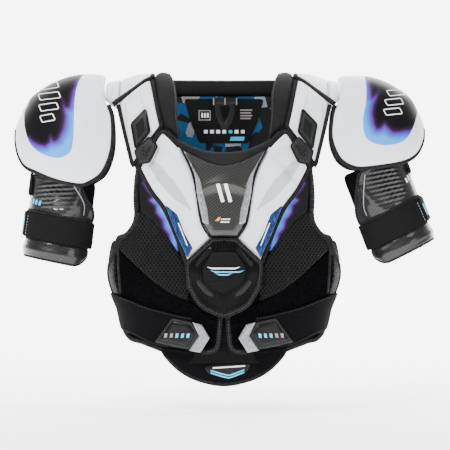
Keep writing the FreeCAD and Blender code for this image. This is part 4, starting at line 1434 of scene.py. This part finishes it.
def make_cap(cap, rim, graphic, front_of_flame, marks):
    side = cap.side
    line = cap.both(spline(rim, step=3), (0.18, 0.05))

    def relief(p, q, d):
        ridge = 1.8 * hump(q - 70, 16) * hump(p, 70)
        return ridge * smooth(d / 12)

    cap.panel(f"{side}_cap_foam", line, 0.6, 9.8, edge=6.0, relief=relief, material=WHITE,
              node=f"{side}_shoulder_cap", slot="white_foam", fill=0.9)
    bound = cap.from_top(line)
    bound = bound[cap.height(bound) < -30]
    cap.band(f"{side}_cap_binding", bound, 6.8, 7.8, 9.0)
    for k, gap in enumerate((6.4, 20.0)):
        seam = refine(cap.from_top(inset(line, gap)), 3)
        cap.wire(f"{side}_cap_seam_{k}", seam, 10.4 - 0.1 * k, 0.3, 0.25, sides=6, material=THREAD_WHITE)
    cap.panel(f"{side}_cap_lining_knit", inset(line, 3.0), -4.4, 3.4, edge=2.0, step=6.0, material=ELASTIC,
              node=f"{side}_cap_lining", slot="black_knit", fill=0.4)
    shape = cap.both(spline(graphic, step=2))
    heat(cap.panel(f"{side}_cap_print", shape, 10.0, 0.9, edge=0.8, step=2.6, relief=relief, material=FLAMES),
         front_of_flame)
    for k, mark in enumerate(marks):
        flat = cap.seen(round_corners(mark, 2.0, 1.5))
        height = 11.1 + relief(flat[:, 0], flat[:, 1], 20.0)
        lo = cap.place(flat[:, 0], flat[:, 1], height)
        up = cap.place(flat[:, 0], flat[:, 1], height + 1) - lo
        cap.fix(sweep(f"{side}_cap_mark_{k}", lo, up / np.linalg.norm(up, axis=1)[:, None], 0.75, 0.4,
                      closed=True, sides=6, material=PRINT_WHITE))


def slanted_bars(rows):
    """Plain slanted bars: left, right, lower edge and height of each."""
    return [[(x0, z), (x1, z + 3), (x1 - 4, z + 3 + h), (x0 - 4, z + h)] for x0, x1, z, h in rows]


def make_caps():
    rim = [(-171, 14.4), (-171, 0), (-170, -20), (-164, -34), (-159, -50), (-158, -80), (-162, -104),
           (-173, -128), (-189, -140), (-206, -145.5), (-240, -139.5), (-272, -127), (-288, -119),
           (-298, -104), (-303, -84), (-303.5, -66)]
    graphic = [(-204, 16.2), (-209, 6), (-213, -13), (-214, -37), (-214, -59), (-215, -82), (-219, -98),
               (-228, -105), (-240, -107), (-256, -103), (-271, -94), (-281, -81), (-287, -62), (-289, -42),
               (-287, -29.5)]
    burning = [
        (-209.8, 18), (-217, -6), (-220.6, -20.6), (-222.2, -33.8), (-226.6, -34), (-231.4, -24),
        (-230.6, -37.4), (-227.8, -49.4), (-230.2, -66.2),
        (-238.6, -80.6), (-243.4, -83), (-247.7, -76), (-250.6, -84.2), (-256.6, -88.3), (-265, -86.7),
        (-273.3, -83), (-281, -76),
        (-310, -80), (-300, -135), (-185, -135), (-185, 40), (-206, 40)]
    bars = slanted_bars(((-262, -238, -8, 9), (-264, -234, -24, 9), (-262, -236, -40, 9),
                         (-260, -241, -56, 9)))
    make_cap(Cap("right", -1, (-195, -86), 112, 103), rim, graphic, burning, bars)
    rim = [(165, 14.8), (165, 0), (164, -20), (157, -36), (153.5, -52), (152, -75), (157, -94), (168, -111),
           (191, -121.5), (228, -118.5), (256, -113.5), (273, -106), (283, -96), (290, -80), (291.5, -64)]
    graphic = [(204.5, 13.8), (204.8, 4), (204.5, -12), (203, -29), (199, -48), (198.7, -63), (201.4, -75.8),
               (209.4, -83.8), (222.2, -88.1), (235, -88.6), (247.8, -86.2), (257.4, -82.2), (265.4, -74.3),
               (273.4, -59.8), (279.5, -42.2), (280, -34)]
    burning = [
        (211, 18), (211.8, -5.4), (212.7, -19.8), (223.5, -11), (219.8, -21.4), (215.8, -31), (213.4, -42.2),
        (215, -56.6), (219, -64.6),
        (223.8, -63), (230.2, -57), (235, -63), (241.5, -67.8), (251, -67.8), (263.8, -66.2), (271, -63),
        (300, -64), (300, -130), (180, -130), (180, 40), (207, 40)]
    bars = slanted_bars(((238, 262, -18, 8), (234, 258, -32, 8), (232, 256, -46, 8)))
    make_cap(Cap("left", 1, (190, -80), 104, 95), rim, graphic, burning, bars)


# ---------------------------------------------------------------- upper arms


ARM_RADIUS = 45.0  # radius on which the arm pieces are unrolled


class Arm(Layer):
    """A tube round the arm: s runs round it from the outer side to the front, v along it, off outward."""

    def __init__(self, side, sign, pivot, tilt, slant):
        self.body, self.side, self.sign, self.slant = f"{side}_arm", side, sign, slant
        self.at = np.array([sign * pivot, 0.0, -62.0])
        self.turn = math.radians(-sign * tilt)

    def place(self, s, v, off):
        s, v, off = np.broadcast_arrays(*(np.asarray(a, float) for a in (s, v, off)))
        a = s / ARM_RADIUS
        v = v + self.slant * np.cos(a) * smooth((-v - 60) / 80)
        lx, ly = self.sign * off * np.cos(a), -off * np.sin(a)
        x = lx * math.cos(self.turn) + v * math.sin(self.turn)
        z = -lx * math.sin(self.turn) + v * math.cos(self.turn)
        return np.stack([x, ly, z], -1) + self.at


def around(degrees):
    """Distance round the arm from its outer side toward the front."""
    return math.radians(degrees) * ARM_RADIUS


def make_arm(arm, top, dash_at, dash_rise, blue_dashes, tab_at):
    side = arm.side
    cuff_strap = Layer(f"{side}_cuff_strap", arm.place)
    rear, fore = around(-128), around(156)
    lining = [(rear, -189), (fore, -189), (fore, top + 2), (rear, top + 2)]
    arm.panel(f"{side}_arm_lining_knit", round_corners(lining, 12, 4), 42.8, 4.8, edge=2.5, step=5.0,
              material=ELASTIC, node=f"{side}_arm_lining", slot="black_knit", fill=0.5)
    shell = [(around(-118), -130), (around(150), -130), (around(150), -116), (around(126), top - 22),
             (around(112), top - 1), (around(-70), top - 1), (around(-95), top - 10), (around(-118), -112)]

    def ribs(s, v, d):
        near = hump(s - around(72), 20) * smooth((v + 128) / 12) * smooth((top - 4 - v) / 10)
        wave = 1.3 * np.cos((v - 0.22 * s) / 6.5 * 2 * math.pi)
        crease = 1.8 * hump(s - around(112) - (v + 100) * 0.5, 6)
        return (wave * near + crease - 0.6) * smooth(d / 6)

    outline = round_corners(shell, 9, 3)
    arm.panel(f"{side}_arm_guard_shell", outline, 49.2, 3.0, edge=3.0, step=2.0, relief=ribs,
              material=CARBON_ARM, node=f"{side}_arm_guard", slot="carbon_shell")
    arm.band(f"{side}_arm_guard_binding", outline, 50.0, 7.0, 5.6, closed=True)
    arm.stitch(f"{side}_arm_guard_stitching", outline, 52.9, closed=True)
    # A thin silver wire along the guard's crease: a painted highlight.
    glint = spline([(around(104), top - 8), (around(124), -106), (around(126), -122)], step=2)
    arm.wire(f"{side}_arm_guard_glint", glint, 53.4, 0.8, 0.6, material=SILVER)
    cuff = [(around(-118), -195), (around(128), -195), (around(146), -182), (around(148), -170.5),
            (around(-118), -170.5)]

    def roll(s, v, d):
        return 2.0 * hump(v + 184, 5) * smooth(d / 5)

    outline = round_corners(cuff, 9, 3)
    arm.panel(f"{side}_arm_cuff_shell", outline, 48.4, 3.4, edge=2.5, step=2.2, relief=roll,
              material=CARBON_ARM, node=f"{side}_arm_cuff", slot="carbon_shell")
    arm.band(f"{side}_arm_cuff_binding", outline, 48.6, 5.5, 5.5, closed=True)
    strap = [(around(-6), -168.5), (around(152), -168.5), (around(152), -130.5), (around(-6), -130.5)]
    cuff_strap.panel(f"{side}_cuff_strap_web", refine(np.array(strap + strap[:1], float), 3)[:-1], 52.6, 2.6,
                     edge=1.2, step=3.0, material=ELASTIC_FINE, node=f"{side}_arm_strap", slot="elastic")
    pad = [(tab_at, -167), (tab_at + 18, -167), (tab_at + 20, -132), (tab_at + 2, -132)]
    cuff_strap.panel(f"{side}_cuff_tab", round_corners(pad, 3, 2), 55.0, 2.0, edge=1.5, step=3,
                     material=MATTE)
    line = np.array([[tab_at + 22, -166.0], [tab_at + 23, -150.0], [tab_at + 24, -133.0]])
    cuff_strap.stitch(f"{side}_cuff_tab_stitching", line, 55.4, THREAD_LIGHT, thick=0.35)
    for k in range(2):
        s = tab_at + 6 + 5 * k
        bar = [(s, -160), (s + 2.5, -160), (s + 5, -142), (s + 2.5, -142)]
        cuff_strap.panel(f"{side}_cuff_mark_{k}", round_corners(bar, 0.8, 1.5), 56.9, 0.4, edge=0.3, step=3,
                         material=PRINT_BLUE)
    for k in range(4):
        s, v = dash_at[0] + 6.5 * k, dash_at[1] + dash_rise * k
        bar = [(s, v), (s + 3.6, v + dash_rise * 0.5), (s + 4.6, v + 7.5), (s + 1.0, v + 7)]
        arm.panel(f"{side}_arm_dash_{k}", round_corners(bar, 0.6, 1.5), 52.4, 0.4, edge=0.3, step=3,
                  material=PRINT_BLUE if k < blue_dashes else PRINT_WHITE)
    x, z = arm.sign * 29.5, np.linspace(-9, -107, 20)
    c, s = math.cos(arm.turn), math.sin(arm.turn)
    path = np.stack([x * c + z * s, 0 * z, -x * s + z * c], 1) + arm.at
    normal = np.tile([arm.sign * c, 0.0, -arm.sign * s], (len(path), 1))
    web = sweep(f"{side}_arm_link_web", path, normal, 14.0, 1.4, material=ELASTIC_FINE)
    Layer(f"{side}_arm_link", None).fix(web, node=f"{side}_arm_link", slot="elastic")
    tab = [(around(4), top + 4), (around(22), top + 6), (around(24), top - 32), (around(6), top - 30)]
    arm.panel(f"{side}_arm_hanging_tab", round_corners(tab, 3, 2), 53.2, 2.2, edge=1.2, step=3,
              material=ELASTIC_FINE)


def make_arms():
    make_arm(Arm("right", -1, 219, 7, 4.0), -76, (around(22), -118), -0.6, 4, around(-4))
    make_arm(Arm("left", 1, 191, 21, 5.0), -60, (around(10), -96), -2.2, 2, around(6))


for side, sign in SIDES:
    make_yoke(side, sign)
    make_collar(side, sign)
make_back_collar()
make_upper_back()
label_prints()
make_hang_loop()
make_back()
make_bridges()
make_adjusters()
make_caps()
make_arms()

# ---------------------------------------------------------------- stage


FLOOR, FLAT, BEND, BACKDROP = -470.0, 5500.0, 2500.0, 9000.0
LIT_POINT = (0, 0, -0.2)
CAMERA_AT, LENS, SENSOR, FAR_CLIP = (0.0014, -4.06, -0.203), 222.2, 36.0, 50


def area_light(name, place, size, power, colour=(1, 1, 1)):
    data = bpy.data.lights.new(name, "AREA")
    data.shape = "DISK"
    data.size = size
    data.energy = power
    data.color = colour
    obj = bpy.data.objects.new(name, data)
    bpy.context.scene.collection.objects.link(obj)
    obj.location = place
    obj.rotation_euler = (Vector(LIT_POINT) - Vector(place)).to_track_quat("-Z", "Y").to_euler()


def make_stage():
    """A pale floor that curves up behind the part, soft lights and the camera."""
    rise = [(FLAT + BEND * math.sin(t), FLOOR + BEND * (1 - math.cos(t))) for t in np.linspace(0.05,
            math.pi / 2, 24)]
    profile = [(-FLAT, FLOOR), (FLAT, FLOOR), *rise, (FLAT + BEND, BACKDROP)]
    verts = [(x, y, z) for y, z in profile for x in (-BACKDROP, BACKDROP)]
    faces = [(2 * i, 2 * i + 1, 2 * i + 3, 2 * i + 2) for i in range(len(profile) - 1)]
    paper_sweep = build("pale_floor_sweep", verts, faces, sharp=80)
    # The paper glows by itself, faintly at the front and strongly towards the back: painted light that makes
    # the backdrop read white.
    paper = Finish("pale_paper", (0.95, 0.95, 0.95), 0.9, Emission_Color=(1, 1, 1, 1), Emission_Strength=1.0)
    _, depth, _ = paper.parts(paper.solid)
    far = paper.node("ShaderNodeMapRange", Value=depth, From_Min=-1.0, From_Max=2.5, To_Min=1.4, To_Max=5.0)
    paper.set("Emission Strength", far)
    paper_sweep.data.materials.append(paper.material)
    world = bpy.data.worlds.new("studio")
    world.use_nodes = True
    sky = world.node_tree.nodes["Background"]
    sky.inputs[0].default_value = (0.97, 0.985, 1.0, 1)
    sky.inputs[1].default_value = 0.33
    bpy.context.scene.world = world
    area_light("key", (-1.2, -1.9, 1.8), 0.7, 122, (1.0, 0.99, 0.97))
    area_light("fill", (1.8, -1.9, 0.5), 1.2, 20)
    area_light("top", (0.1, 0.1, 1.9), 1.2, 50)
    area_light("rim", (0.7, 1.6, 1.0), 1.0, 18)
    camera = bpy.data.objects.new("camera", bpy.data.cameras.new("camera"))
    camera.data.lens = LENS
    camera.data.sensor_width = SENSOR
    camera.data.clip_end = FAR_CLIP
    camera.location = CAMERA_AT
    camera.rotation_euler = (math.pi / 2, 0, 0)
    bpy.context.scene.collection.objects.link(camera)
    bpy.context.scene.camera = camera


make_stage()
